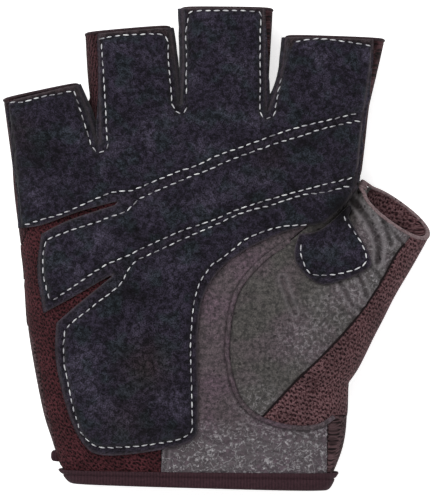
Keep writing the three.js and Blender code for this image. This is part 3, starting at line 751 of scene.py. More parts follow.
def write_map(mesh, flat):
    """Stores a flat place in millimetres for each point as the UV map that the weave reads."""
    corners = np.zeros(len(mesh.loops), int)
    mesh.loops.foreach_get("vertex_index", corners)
    layer = mesh.uv_layers.new(name="cloth")
    layer.uv.foreach_set("vector", flat[corners].astype(np.float32).ravel())


def flat_across_hand(points, way_down, middle):
    """Laid out flat: what a point lies down the side of the hand is added to its place across."""
    side = np.sign(points[:, 0] - middle)
    across = points[:, 0] + side * way_down
    return np.stack([across, points[:, 1] + COURSE_SLOPE * across], 1) / MM


def flat_panel(name, points):
    if name.startswith("side_wall"):  # its ribs run up the wall, leaning a little
        return np.stack([points[:, 1], points @ (1, -0.3, 0.6)], 1) / MM
    if name.startswith("thumb"):
        return flat_across_hand(points, THUMB_DEPTH - points[:, 2], points[:, 0].min())
    middle = (points[:, 0].min() + points[:, 0].max()) / 2
    if name == "back_panel":
        return flat_across_hand(points, BACK_TURN * points[:, 2], middle)
    return flat_across_hand(points, PALM_DEPTH - points[:, 2], middle)


pieces = {}
for name in names:
    if "leather" in name or name == "thumb_mesh_back":
        continue
    numbers = [names.index(part) for part in names if part in (name, name + "_back")]
    part = only(cloth, np.isin(cloth_panel, numbers))
    tuck_edges(part)
    pieces[name] = placed(panel_object("knit_" + name, part, FABRIC), name)
    write_map(pieces[name].data, flat_panel(name, points_of(pieces[name].data)))

# %% [markdown]
# ## Smooth leather
# The leather panels come from the finer form, because creases run over them. Leather creases where it is
# squeezed, and each crease here is a line down which the surface sinks, with a slight swell beside it.

# %% Creases and hollows
CREASES = [  # points on the photograph, then depth and half width in millimetres
    ([(350, 196), (362, 212), (372, 228), (378, 246), (377, 262)], 0.7, 1.1),
    ([(372, 200), (380, 214), (386, 230), (390, 244)], 0.45, 0.9),
    ([(383, 222), (392, 232), (401, 243)], 0.35, 0.7),
    ([(354, 270), (362, 284), (366, 296)], 0.4, 0.9),
    ([(338, 280), (345, 292), (352, 304), (362, 310)], 0.35, 0.8),
    ([(366, 262), (376, 272), (382, 282)], 0.35, 0.8),
    ([(282, 278), (288, 296), (294, 312)], 0.2, 0.9),
    ([(240, 455), (262, 449), (286, 452), (306, 447)], 0.12, 1.0),
    ([(200, 436), (222, 442), (246, 438), (270, 444)], 0.12, 0.9),
    ([(204, 452), (226, 456), (250, 464)], 0.1, 0.8),
    ([(214, 424), (236, 432), (262, 430)], 0.1, 0.7),
    ([(167, 450), (166, 460), (164, 470)], 0.35, 0.6),
    ([(196, 300), (194, 330), (194, 380), (195, 420)], 0.2, 0.5),
]


def photo_line(pixels, steps=4):
    """A smooth line on the table through pixels of the photograph."""
    return np.array(smooth_rows([spot(*pixel) for pixel in pixels], steps))


def distance_to(points, lines):
    """How far points are from the nearest of some lines, seen from above."""
    best = np.full(len(points), 1.0)
    for line in lines:
        for a, b in zip(line[:-1], line[1:]):
            way = b - a
            along = np.clip(((points[:, :2] - a) @ way) / (way @ way), 0, 1)
            best = np.minimum(best, np.linalg.norm(points[:, :2] - a - along[:, None] * way, axis=1))
    return best


def bell(away, width, power=2):
    """1 at no distance, and fading beyond a width."""
    return np.exp(-((away / width) ** power))


def ripples(points, wave, seed):
    """A gentle unevenness between -1 and 1 with waves of about that length."""
    rng = np.random.default_rng(seed)
    height = np.zeros(len(points))
    for _ in range(9):
        way = rng.normal(size=3)
        way *= 2 * math.pi / wave * rng.uniform(0.6, 1.5) / np.linalg.norm(way)
        height += np.sin(points @ way + rng.uniform(0, 2 * math.pi))
    return height / 4


def crease_relief(points):
    height = np.zeros(len(points))
    for pixels, depth, half_width in CREASES:
        away = distance_to(points, [photo_line(pixels)]) / (half_width * MM)
        height += depth * MM * (0.4 * bell(away - 1.9, 1) - bell(away, 1))
    return height


def leather_relief(points):
    bottom = np.clip((spot(0, 415).y - points[:, 1]) / (12 * MM), 0, 1)
    crumple = ripples(points, 3.2 * MM, 5) * 0.16 * MM * bottom
    return crease_relief(points) + crumple + ripples(points, 11 * MM, 4) * 0.12 * MM


def blots(points, table):
    """Soft round spots: pixel, radius in pixels and strength, added up."""
    total = np.zeros(len(points))
    for px, py, radius, strength in table:
        away = np.linalg.norm(points[:, :2] - np.array(spot(px, py)), axis=1)
        total += strength * bell(away, radius / PHOTO_ACROSS * WIDTH)
    return total


def write_tones(mesh, **tones):
    """Stores numbers for each point, which a material reads by their names."""
    for name, values in tones.items():
        mesh.attributes.new(name, "FLOAT", "POINT").data.foreach_set("value", values.astype(np.float32))


def raise_points(bm, relief):
    """Moves each point along its normal by what the relief says there."""
    bm.normal_update()
    heights = relief(np.array([v.co[:] for v in bm.verts]))
    for v, height in zip(bm.verts, heights):
        v.co += v.normal * height


# soft spots on the photograph: x, y and radius in pixels, then how strong
# where these spots and the heel's lowest strip lie, the leather is crumpled, with fewer pores, and gets
# painted highlights: a paler tone and pale lines along its ridges
WORN = [
    (325, 318, 26, 0.2), (352, 292, 22, 0.25), (385, 232, 24, 0.5), (372, 275, 18, 0.45),
    (300, 345, 24, 0.25), (385, 205, 16, 0.35), (258, 405, 20, 0.3),
]
PURPLE = [
    (300, 345, 26, 0.7), (372, 240, 20, 0.6), (335, 290, 20, 0.5), (270, 395, 20, 0.2), (262, 268, 16, 0.6),
]
SHADED = [(341, 208, 15, 1.0), (318, 228, 8, 0.8)]  # deep between the thumb and the index finger
hide = cut_form(hide_form, panel_lines, halfway - MM)
cut_level(hide, halfway)
hide_panel = sorted_faces(hide)
for name, purple in (("thumb_leather", 0), ("palm_leather", 0.8)):
    part = only(hide, hide_panel == names.index(name))
    raise_points(part, leather_relief)
    tuck_edges(part)
    pieces[name] = placed(panel_object("leather_" + name, part, FABRIC), name)
    points = points_of(pieces[name].data)
    # painted shade: the leather is darkened in each crease's fold, in a groove beside the welt and between
    # the thumb and the index finger
    folded, crest = np.zeros(len(points)), np.zeros(len(points))
    for pixels, depth, half_width in CREASES:
        away = distance_to(points, [photo_line(pixels)]) / (half_width * MM)
        folded = np.maximum(folded, min(depth * 2, 1) * bell(away, 1 / 1.3))
        # painted highlight along the crest beside each crease
        crest = np.maximum(crest, min(depth * 2, 1) * bell(away - 1.3, 0.5))
    from_welt = distance_to(points, [welt_line]) / MM
    folded = np.maximum(folded, 0.9 * bell(from_welt - 0.75, 0.3))
    # the heel's lowest strip, crumpled and given painted highlights
    low = np.clip((spot(0, 418).y - points[:, 1]) / (8 * MM), 0, 1)
    write_tones(
        pieces[name].data,
        folded=np.clip(folded + blots(points, SHADED), 0, 1),
        crest=crest,
        worn=np.clip(low + blots(points, WORN), 0, 1),
        purple=np.clip(purple + blots(points, PURPLE), 0, 1),
    )

# %% [markdown]
# ## The thread's paths
# White thread runs round each padded zone of the suede. Its paths are read off the photograph, and they
# also say where the padding stops and where the channels lie.

# %% Stitched paths, in pixels of the photograph
LITTLE_STITCH = [
    [(9.6, 103), (24.7, 102.7), (41, 98), (60, 94.5), (73, 92), (76, 96), (79, 106)],
    [(79, 106), (89, 137), (91.2, 145), (96, 151), (101.5, 152.5), (107.7, 148.8), (108.3, 142.6)],
]
RING_STITCH = [
    [(108, 142.6), (105.6, 96), (102.2, 45), (103, 40), (106, 39)],
    [(105.6, 39), (118, 37), (137, 35.7), (159, 35), (165, 37.7), (168, 43), (168, 52)],
    [(168, 52), (169.3, 72.7), (171.4, 96), (172, 104), (176.9, 112.4), (183.7, 113), (187.9, 107)],
]
MIDDLE_STITCH = [
    [(187.2, 96), (186.5, 82), (187, 62), (186.5, 48), (186.2, 33), (188.5, 19), (190, 13.5), (195, 12)],
    [(195, 12), (215, 12), (245, 12), (259, 14), (261, 19)],
    [(261, 19), (259.8, 34), (259.8, 83), (259.4, 105), (260.5, 114), (265.3, 119), (273.5, 116),
     (276.3, 103), (279, 89.5), (281.5, 77)],
]
INDEX_STITCH = [[(293.5, 43), (317, 40), (346, 43), (371, 47)]]
UPPER_PAIR = [
    [(24, 225.3), (41, 220), (62, 214), (82, 205.4), (101.5, 197), (111, 193), (121, 191.5), (130, 191),
     (137, 189), (155, 181.5), (177, 172.5), (197.5, 165.7), (215, 157), (236, 149.4), (260.5, 140.5),
     (284, 132), (310, 124.7), (328, 120.5), (357, 113.6)],
    [(47.3, 240), (60, 235), (79.5, 228), (96, 223), (112, 217), (126, 212), (131.6, 207.5),
     (138.5, 200.7), (145, 197), (153.6, 193), (171, 185.6), (192, 176.7), (214, 168.4), (222, 164),
     (255, 151.5), (281, 142.6), (300, 137), (322, 129.5), (348.6, 123.3), (361, 121)],
]
MIDDLE_EDGE = [(47.3, 240), (44.6, 250), (43.9, 264), (44.6, 276), (48, 290), (50.7, 300)]
LOWER_PAIR = [
    [(52.8, 300.7), (67, 291), (82, 281), (96, 271), (111, 262.4), (127.5, 256), (145, 247),
     (164.5, 238.4), (184, 230), (215, 219.4), (229, 213), (248, 206), (270, 199.4), (292, 193),
     (320, 185.7), (342, 180), (353, 178)],
    [(66.5, 329), (77, 319), (89, 310), (101.5, 300), (110, 294), (119, 286), (124, 280), (128, 272),
     (132, 266), (138.5, 260), (148, 255.5), (164.5, 248), (184, 239), (215, 225.6), (229, 218.7),
     (249, 211), (270, 206), (282.5, 201.5), (304.5, 195), (322, 193), (350, 186)],
]
HEEL_EDGE = [
    (66.5, 329), (64.7, 341), (65, 361.5), (70, 387.6), (74.7, 409.5), (82, 431.5), (89, 440),
    (98.7, 446.3), (121, 446.3), (144, 444.5), (164.5, 441.3), (181, 437.6), (190, 431.5), (192, 426),
    (192, 398.6), (191, 371), (190.6, 341), (191.3, 330), (193.3, 307.6), (196, 294), (200, 281.6),
    (205.7, 273), (212, 264.4), (217, 261.4), (231.5, 250.4), (244, 240), (259, 233), (275.6, 227.7),
    (289.4, 225.6), (303, 225), (314, 225.6), (324, 223.5),
]
PATCH_EDGE = [
    (341, 207), (343, 216), (348.6, 225.6), (355.5, 235), (361.7, 246), (365, 256), (363.8, 263),
    (357, 268), (346, 271.7), (332, 274.5), (317, 275), (308.7, 272.4), (303, 263), (300.4, 254.5),
    (300.4, 243.5),
]
FINGER_STITCH = [*LITTLE_STITCH, *RING_STITCH, *MIDDLE_STITCH, *INDEX_STITCH]
PADDED_ZONES = [  # closed lines round the padding, with points on the folded outer edges
    sum(FINGER_STITCH, []) + [(369, 100), (361, 113)] + UPPER_PAIR[0][::-1] + [(17, 180)],
    MIDDLE_EDGE[::-1] + UPPER_PAIR[1] + [(362, 150)] + LOWER_PAIR[0][::-1],
    LOWER_PAIR[1] + [(352, 196)] + HEEL_EDGE[::-1],
]
stitched = [*FINGER_STITCH, *UPPER_PAIR, MIDDLE_EDGE, *LOWER_PAIR, HEEL_EDGE]
stitch_lines = [photo_line(pixels) for pixels in stitched]
patch_stitch = photo_line(PATCH_EDGE)
zones = [np.array([spot(*pixel) for pixel in zone]) for zone in PADDED_ZONES]
stitched_length = sum(np.linalg.norm(np.diff(line, axis=0), axis=1).sum() for line in stitch_lines)
print("stitched length in mm:", round(stitched_length / MM))

# %% [markdown]
# ## Padded suede
# The suede is one sheet over thin foam pads. Its underside follows the glove, and its top swells over
# each pad, sinks along every line of thread, stays thin in the channels and rounds off at the cut edge.
# The wall is made first, and then only its outer points are raised, so the underside stays clear.

# %% Suede with pads, channels and edges
PAD_HEIGHT = [0.55 * MM, 0.9 * MM, 1.0 * MM]  # fingers and knuckles, middle, heel
PAD_SHOULDER = 3.4 * MM  # how far from the thread a pad has its full height
THREAD_SINK, SINK_WIDTH = 0.28 * MM, 0.45 * MM
EDGE_DROP, EDGE_ROUND = 0.4 * MM, 0.45 * MM


def suede_relief(points):
    to_thread = distance_to(points, stitch_lines)
    height = np.zeros(len(points))
    for zone, pad in zip(zones, PAD_HEIGHT):
        swell = np.clip(to_thread / PAD_SHOULDER, 0, 1)
        height += inside(points, zone) * pad * np.sqrt(1 - (1 - swell) ** 2.4)
    height -= THREAD_SINK * bell(to_thread, SINK_WIDTH)
    height -= EDGE_DROP * bell(distance_to(points, [closed_line(suede_line)]), EDGE_ROUND)
    return height + ripples(points, 14 * MM, 2) * 0.18 * MM + ripples(points, 5 * MM, 3) * 0.05 * MM


def patch_relief(points):
    to_thread = distance_to(points, [patch_stitch])
    to_edge = distance_to(points, [closed_line(patch_line)])
    height = 0.35 * MM * np.clip(to_thread / (2.5 * MM), 0, 1) * np.clip(to_edge / (4 * MM), 0, 1)
    return height - THREAD_SINK * bell(to_thread, SINK_WIDTH) - EDGE_DROP * bell(to_edge, EDGE_ROUND)


def overlay(name, bm, relief):
    """A layer laid on the skin: its underside keeps clear, and its outer side gets the relief."""
    bm.normal_update()
    outward = np.array([v.normal[:] for v in bm.verts])
    for v in bm.verts:
        v.co += v.normal * CLEARANCE
    raw = panel_object(name, bm, SUEDE, 1)
    mesh = finished_mesh(raw)
    bpy.data.objects.remove(raw)
    points = points_of(mesh)
    count = len(outward)
    halves = [points[:count], points[count:2 * count]]
    outer = int(((halves[1] - halves[0]) * outward).sum() > 0)
    halves[outer] += outward * relief(halves[outer])[:, None]
    mesh.vertices.foreach_set("co", points.ravel())
    mesh.update()
    mesh.name = name
    mesh.shade_smooth()
    return linked(bpy.data.objects.new(name, mesh))


# where the back wraps round to the front of the little finger
LITTLE_WRAP = [(7, 80), (8.7, 103), (13.9, 140), (18, 175), (20.7, 200), (22.5, 232)]
TOP_ROWS = [LITTLE_STITCH[0][:5], RING_STITCH[1], MIDDLE_STITCH[1], INDEX_STITCH[0]]
suede_foot = 0.66 * PALM_DEPTH  # the suede ends at this height on the sides of the hand
wrap_line = np.array([spot(*pixel) for pixel in [(-60, 80), *LITTLE_WRAP, (-60, 240)]])
bm = cut_form(hide_form, [suede_line, patch_line, wrap_line], suede_foot - 2 * MM)
cut_level(bm, suede_foot)
centres = centres_of(bm)
in_suede = inside(centres, suede_line) & ~inside(centres, wrap_line)
in_patch = inside(centres, patch_line) & ~in_suede & (centres[:, 2] > halfway)
in_suede &= centres[:, 2] > suede_foot
sheet = overlay("suede_palm_sheet", only(bm, in_suede), suede_relief)
patch = overlay("suede_thumb_patch", only(bm, in_patch), patch_relief)
pieces["suede_palm"] = placed(sheet, "suede_palm")
pieces["thumb_patch"] = placed(patch, "thumb_patch")
# spots again, for the suede: nap brushed lighter or darker, with painted shade at (345, 215) between the
# thumb and the index finger, and browned
BRUSHED = [
    (82, 355, 20, 0.5), (100, 400, 14, 0.35), (66, 206, 16, 0.4), (84, 268, 18, 0.35),
    (150, 150, 20, 0.3), (175, 125, 16, 0.35), (245, 70, 20, 0.3), (155, 60, 16, 0.25),
    (225, 165, 24, 0.3), (130, 292, 18, -0.4), (200, 210, 20, 0.3), (345, 60, 18, 0.25),
    (330, 245, 14, 0.3), (320, 140, 26, -0.25), (40, 150, 16, -0.25), (210, 50, 14, -0.25),
    (345, 215, 16, -0.5), (140, 425, 18, -0.25), (345, 165, 16, -0.25),
]
BROWNED = [
    (147, 365, 24, 0.9), (125, 420, 20, 0.5), (20, 130, 16, 0.5), (270, 160, 14, 0.4), (30, 260, 14, 0.4),
]
suede_edges = [closed_line(suede_line), closed_line(patch_line)]
top_lines = [photo_line(row) for row in TOP_ROWS]
for made, lines, held in ((sheet, stitch_lines, zones), (patch, [patch_stitch], [patch_stitch])):
    points = points_of(made.data)
    padded = np.any([inside(points, zone) for zone in held], 0)
    to_thread, to_wrap, to_rim, to_edge = (
        distance_to(points, group) / MM for group in (lines, [wrap_line[1:-1]], top_lines, suede_edges)
    )
    write_tones(
        made.data,
        flange=~padded * np.clip(to_thread / 0.6, 0, 1),
        # painted shade along the thread's sunken lines and along the little finger's wrap
        pressed=np.maximum(bell(to_thread, 0.7), bell(to_wrap, 0.6)),
        shaded=np.clip(blots(points, SHADED), 0, 1),
        hem=~padded * bell(to_rim, 2.3, 6) * np.clip(to_rim / 0.5, 0, 1),
        cut_edge=bell(to_edge, 0.3) * np.clip(to_wrap - 1, 0, 1),
        brushed=blots(points, BRUSHED),
        browned=np.clip(blots(points, BROWNED), 0, 1),
    )
print("faces of the suede:", len(pieces["suede_palm"].data.polygons))

# %% [markdown]
# ## Thread
# A lock stitch shows as a row of short, plump floats that dip into the leather at both ends. One float
# is an ellipsoid of few faces, and it is set along each path by its own matrix.

# %% Rows of stitches
STITCH_PITCH = 2.45 * MM
STITCH_LENGTH = 1.85 * MM
THREAD = 0.44 * MM
STITCH_LIFT = 0.08 * MM


def surface_over(meshes):
    """What a ray from above meets first on some meshes."""
    trees = [
        BVHTree.FromPolygons([v.co for v in mesh.vertices], [p.vertices for p in mesh.polygons])
        for mesh in meshes
    ]

    def drop(x, y):
        hits = [tree.ray_cast(Vector((x, y, 0.1)), Vector((0, 0, -1))) for tree in trees]
        hits = [hit for hit in hits if hit[0] is not None]
        return max(hits, key=lambda hit: hit[0].z)[:2] if hits else (None, None)

    return drop


def along_line(line, pitch):
    """Places along a line, about a pitch apart, with the way that the line has there."""
    steps = np.linalg.norm(np.diff(line, axis=0), axis=1)
    total = np.concatenate([[0], np.cumsum(steps)])
    count = max(round(total[-1] / pitch), 1)
    at = (np.arange(count) + 0.5) * total[-1] / count
    place, ahead, behind = (
        np.stack([np.interp(at + step, total, line[:, k]) for k in (0, 1)], 1)
        for step in (0, 0.3 * MM, -0.3 * MM)
    )
    return place, ahead - behind


def stitch_float():
    """One float: a plump ellipsoid along X, one unit long and thick."""
    bm = bmesh.new()
    bmesh.ops.create_uvsphere(bm, u_segments=7, v_segments=5, radius=0.5)
    bmesh.ops.rotate(bm, verts=bm.verts, matrix=Matrix.Rotation(math.pi / 2, 3, "Y"))
    mesh = bpy.data.meshes.new("stitch_float")
    bm.to_mesh(mesh)
    bm.free()
    return mesh


def stitches(name, lines, ground, seed):
    rng = np.random.default_rng(seed)
    bm = bmesh.new()
    for line in lines:
        for place, way in zip(*along_line(line, STITCH_PITCH)):
            point, normal = ground(*place)
            if point is None:
                continue
            across = normal.cross(Vector((*way, 0))).normalized()
            along = (across.cross(normal) + across * rng.uniform(-0.12, 0.12)).normalized()
            across = normal.cross(along)
            made = stitch_float()
            turn = Matrix((along, across, normal)).transposed().to_4x4()
            size = Matrix.Diagonal((STITCH_LENGTH * rng.uniform(0.85, 1.1), THREAD, THREAD, 1))
            made.transform(Matrix.Translation(point + normal * STITCH_LIFT) @ turn @ size)
            bm.from_mesh(made)
            bpy.data.meshes.remove(made)
    return new_object(name, bm)


ground = surface_over([sheet.data, patch.data])
pieces["thread"] = placed(stitches("lockstitch_thread", [*stitch_lines, patch_stitch], ground, 11))
print("faces of the thread:", len(pieces["thread"].data.polygons))

# %% [markdown]
# ## Welt
# Where the thumb's panel is set in, the seam allowance is turned over and shows as a soft ridge. It is
# one rounded section carried along the seam line over the leather, lower at the top, where it runs out.

# %% The raised seam round the thumb
def skinned(bm, sections, closed):
    """Joins sections of as many points each with faces."""
    rows = [[bm.verts.new(point) for point in section] for section in sections]
    pairs = list(zip(rows[:-1], rows[1:]))
    if closed:
        pairs.append((rows[-1], rows[0]))
    count = len(rows[0])
    for first, second in pairs:
        for k in range(count):
            bm.faces.new((first[k], first[(k + 1) % count], second[(k + 1) % count], second[k]))
    if not closed:
        bm.faces.new(rows[0][::-1])
        bm.faces.new(rows[-1])
    bmesh.ops.recalc_face_normals(bm, faces=bm.faces)


WELT_WIDTH, WELT_HEIGHT = 1.5 * MM, 0.75 * MM
SEAM_WIDTH, SEAM_HEIGHT = 0.6 * MM, 0.12 * MM
ground = surface_over([hide_form])
turn = np.linspace(0, 2 * math.pi, 12, endpoint=False)


def ridge_along(name, line, width, height, runs_out):
    """A rounded ridge that lies on the glove along a line, tapered at its ends."""
    sections = []
    places, ways = along_line(line, 0.7 * MM)
    for k, (place, way) in enumerate(zip(places, ways)):
        point, normal = ground(*place)
        if point is None:
            continue
        across = normal.cross(Vector((*way, 0))).normalized()
        share = k / len(places)
        swell = min(1, 12 * share + 0.1, 12 * (1 - share) + 0.1)
        if runs_out:
            swell *= 0.35 + 0.65 * min(share / 0.4, 1)
        rise = np.where(np.sin(turn) > 0, height * swell, 0.3 * MM)
        sections.append([
            point + across * (math.cos(angle) * width / 2) + normal * (math.sin(angle) * high)
            for angle, high in zip(turn, rise)
        ])
    bm = bmesh.new()
    skinned(bm, sections, False)
    return new_object(name, bm)


on_thumb = thumb_seam[thumb_seam[:, 1] < spot(0, 241).y]  # below the mouth
roll = ridge_along("turned_thumb_seam", on_thumb, SEAM_WIDTH, SEAM_HEIGHT, False)
welt = ridge_along("leather_seam_welt", welt_line, WELT_WIDTH, WELT_HEIGHT, True)
pieces["thumb_seam"] = placed(roll)
pieces["seam_welt"] = placed(welt, "seam_welt")
write_tones(welt.data, purple=np.full(len(welt.data.vertices), 0.75))
print("faces of the welt:", len(welt.data.polygons))

# %% [markdown]
# ## Binding and turned rims
# Ribbed tape is folded round the wrist edge and sewn through with one row, which draws it in. The rims
# of the fingers and of the thumb are turned over and show as a narrow roll. Both follow rings taken from
# the hand form.

# %% Wrist binding
def outward_of(ring):
    """Which way is out at each point of a ring, seen along the hand."""
    way = np.roll(ring, -1, 0) - np.roll(ring, 1, 0)
    out = np.cross(way, (0.0, 1.0, 0.0))
    out /= np.linalg.norm(out, axis=1)[:, None] + 1e-12
    return out if ((ring - ring.mean(0)) * out).sum() > 0 else -out


TAPE_FLARE = 0.025  # the tape stands out at the sides by this share, as its cut ends are bulky
TAPE_SECTION = [  # share of the tape's width from the fold, then millimetres out from the glove's skin
    (1.00, 0.30), (1.00, 0.75), (0.94, 1.00), (0.80, 1.00), (0.70, 0.85), (0.64, 0.45), (0.58, 0.85),
    (0.46, 1.05), (0.20, 1.10), (0.04, 0.90), (-0.03, 0.40), (-0.05, -0.50), (-0.03, -1.40), (0.04, -1.90),
    (0.50, -2.00),
    (0.90, -1.95), (0.92, -1.55), (0.30, -1.50), (0.12, -1.40), (0.10, 0.25),
]
TAPE_WIDTH = 16.5  # pixels of the photograph
TAPE_RISE = 0.6 * MM  # the fold lies this far in from the sections' own end
foot = palm_rings[1]
tape_width = TAPE_WIDTH / PHOTO_UP * LENGTH
head = min(palm_rings, key=lambda ring: abs(ring[:, 1].mean() - foot[:, 1].mean() - tape_width))
sections = []
for share, out in TAPE_SECTION:
    ring_here = foot + (head - foot) * share + (0, TAPE_RISE, 0)
    ring_here[:, 0] += (ring_here[:, 0] - ring_here[:, 0].mean()) * (TAPE_FLARE if out > 0 else 0)
    sections.append(ring_here + outward_of(ring_here) * out * MM)
bm = bmesh.new()
skinned(bm, sections, True)
pieces["wrist_binding"] = placed(new_object("tape_wrist_binding", bm), "wrist_binding")

# %% Pull tab
TAB_ROOT, TAB_TIP, TAB_TOP, TAB_FOOT = 66, 50, 451, 463  # pixels of the photograph
TAB_HALF = 0.9 * MM  # half its thickness
TAB_SECTION = ((0, 0.55), (0.3, 1.0), (0.6, 1.0), (0.85, 0.92), (0.96, 0.7), (1.0, 0.3))  # place and size
tab_heart = (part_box("pull_tab")[0].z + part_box("pull_tab")[1].z) / 2
sections = []
for share, size in TAB_SECTION:
    heart = spot(TAB_ROOT + (TAB_TIP - TAB_ROOT) * share, (TAB_TOP + TAB_FOOT) / 2)
    half = (TAB_FOOT - TAB_TOP) / 2 / PHOTO_UP * LENGTH
    sections.append([
        Vector((heart.x, heart.y + math.cos(a) * half * size, tab_heart + math.sin(a) * TAB_HALF * size))
        for a in turn
    ])
bm = bmesh.new()
skinned(bm, sections, False)
pieces["pull_tab"] = placed(new_object("tape_pull_tab", bm), "pull_tab")
print("tab faces:", len(pieces["pull_tab"].data.polygons))

# %% Rolled rims
RIM_STEPS = 90
MOUTH_CORNER = (363, 187)  # where the thumb's rim meets the hand, and its hem is bunched up


def mouth_ring(point, way, low, high):
    """The skin's edge in the plane of a mouth, in order round it."""
    side = way.cross(Vector((0, 0, 1))).normalized()
    up = side.cross(way)
    found = np.array([
        v.co[:] for v in cloth.verts
        if abs((v.co - point).dot(way)) < 0.05 * MM and low < (v.co - point).dot(side) < high
    ])
    middle = (found.max(0) + found.min(0)) / 2
    flat = np.stack([(found - middle) @ side, (found - middle) @ up], 1)
    angle = np.arctan2(flat[:, 1] / np.ptp(flat[:, 1]), flat[:, 0] / np.ptp(flat[:, 0]))
    order = np.argsort(angle)
    at = np.linspace(-math.pi, math.pi, RIM_STEPS, endpoint=False)
    ring = np.stack([np.interp(at, angle[order], found[order, k], period=2 * math.pi) for k in range(3)], 1)
    for _ in range(3):
        ring = (np.roll(ring, 1, 0) + 2 * ring + np.roll(ring, -1, 0)) / 4
    return ring


def rolled_rim(bm, ring, way, proud, thick):
    """A narrow roll round a mouth, over the wall's edge."""
    centre = ring.mean(0)
    along = np.array(way)
    tangent = np.roll(ring, -1, 0) - np.roll(ring, 1, 0)
    out = np.cross(tangent, along)
    out /= np.linalg.norm(out, axis=1)[:, None] + 1e-12
    if ((ring - centre) * out).sum() < 0:
        out = -out
    angles = np.linspace(0, 2 * math.pi, 10)[:-1]
    hearts = ring - out * FABRIC / 2
    skinned(bm, [
        [heart + o * math.cos(a) * thick + along * (math.sin(a) * proud) for a in angles]
        for heart, o in zip(hearts, out)
    ], True)


bm = bmesh.new()
for left, way, width in finger_mouths():
    rolled_rim(bm, mouth_ring(left, way, -0.1 * width, 1.1 * width), way, 0.55 * MM, 0.85 * MM)
pieces["finger_rims"] = placed(new_object("turned_finger_rims", bm))
bm = bmesh.new()
middle, _, ahead, _ = (Vector(part) for part in thumb_frame(THUMB_ROWS[-1]))
ring_here = mouth_ring(middle, ahead, -THUMB_REACH, THUMB_REACH)
rolled_rim(bm, ring_here, ahead, 0.45 * MM, 0.75 * MM)
corner = spot(*MOUTH_CORNER)
nearest = np.argsort(np.linalg.norm(ring_here[:, :2] - corner, axis=1))[:6]
bunched = Matrix.Translation((corner.x, corner.y, ring_here[nearest, 2].mean() - 0.6 * MM))
bunched = bunched @ Matrix.Diagonal((1.4 * MM, 1.7 * MM, 0.6 * MM, 1))
bmesh.ops.create_icosphere(bm, subdivisions=3, radius=1, matrix=bunched)
pieces["thumb_rim"] = placed(new_object("turned_thumb_rim", bm))
print("rims:", [len(pieces[name].data.polygons) for name in ("finger_rims", "thumb_rim")])

# %% [markdown]
# ## Stage
# White paper lit from behind, two large soft lights and the camera straight over the palm, a metre away,
# as a product photographer stands, so that perspective hardly widens the outline.

# %% Floor, lights and camera
def add(tree, kind, inputs=None, **settings):
    """Adds a node. Settings are its properties, and inputs its values or the sockets that feed it."""
    made = tree.nodes.new(kind)
    for name, value in settings.items():
        setattr(made, name, value)
    for name, value in (inputs or {}).items():
        if isinstance(value, bpy.types.NodeSocket):
            tree.links.new(value, made.inputs[name])
        else:
            made.inputs[name].default_value = value
    return made


def linear(hex_colour, alpha=1.0):
    """An sRGB hex colour as the linear values that a shader reads."""
    values = [int(hex_colour[i:i + 2], 16) / 255 for i in (1, 3, 5)]
    return (*((v / 12.92 if v <= 0.04045 else ((v + 0.055) / 1.055) ** 2.4) for v in values), alpha)


def new_material(name):
    material = bpy.data.materials.new(name)
    material.use_nodes = True
    tree = material.node_tree
    tree.nodes.clear()
    return material, tree


bm = bmesh.new()
bmesh.ops.create_grid(bm, x_segments=1, y_segments=1, size=2)
floor = new_object("floor", bm)
material, tree = new_material("backlit_white_paper")
shader = add(tree, "ShaderNodeBsdfPrincipled", {
    "Base Color": linear("#f6f6f6"), "Roughness": 0.9,
    "Emission Color": linear("#ffffff"), "Emission Strength": 0.65,
})
add(tree, "ShaderNodeOutputMaterial", {"Surface": shader.outputs["BSDF"]})
floor.data.materials.append(material)
floor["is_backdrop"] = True

CAMERA_DISTANCE = 1.0  # metres
SENSOR = 36  # millimetres
PHOTO_WIDTH, PHOTO_HEIGHT = 431, 495
middle = spot(PHOTO_WIDTH / 2, PHOTO_HEIGHT / 2)
camera = bpy.data.objects.new("camera", bpy.data.cameras.new("camera"))
camera.location = (middle.x, middle.y, PALM_DEPTH * 0.7 + CAMERA_DISTANCE)
camera.data.sensor_fit = "HORIZONTAL"
camera.data.sensor_width = SENSOR
camera.data.lens = SENSOR * CAMERA_DISTANCE / (PHOTO_WIDTH / PHOTO_ACROSS * WIDTH)
bpy.context.scene.camera = linked(camera)


def soft_light(name, place, size, power):
    lamp = bpy.data.lights.new(name, "AREA")
    lamp.size = size
    lamp.energy = power
    made = bpy.data.objects.new(name, lamp)
    made.location = place
    made.rotation_euler = (Vector((0, 0, 0)) - Vector(place)).to_track_quat("-Z", "Y").to_euler()
    linked(made)


soft_light("key", (-0.35, 0.45, 0.75), 0.8, 6.5)
soft_light("fill", (0.5, -0.4, 0.7), 0.6, 1.5)
world = bpy.data.worlds.new("studio")
world.use_nodes = True
world.node_tree.nodes["Background"].inputs["Color"].default_value = linear("#ffffff")
world.node_tree.nodes["Background"].inputs["Strength"].default_value = 0.42
bpy.context.scene.world = world
bpy.context.scene.view_settings.view_transform = "Standard"  # so that the white paper comes out white

# %% [markdown]
# ## Split suede
# The palm is split cowhide, dyed blue black and buffed on its flesh side. The nap lies this way and that,
# so broad soft patches catch more or less light, and fine fibres make it grainy. It has no gloss, but a
# faint sheen at a grazing angle. Along the flange outside the thread it is pressed flat and greyer. Painted
# shade darkens it along the thread, at the little finger's wrap and between the thumb and the index finger.

# %% Material: split suede
NAP_PATCH = 9 * MM  # how wide the brushed patches are
NAP_MOTTLE = 1.35 * MM
NAP_FIBRE = 0.34 * MM  # real fibres are near 0.05 mm; drawn this coarse so that they show


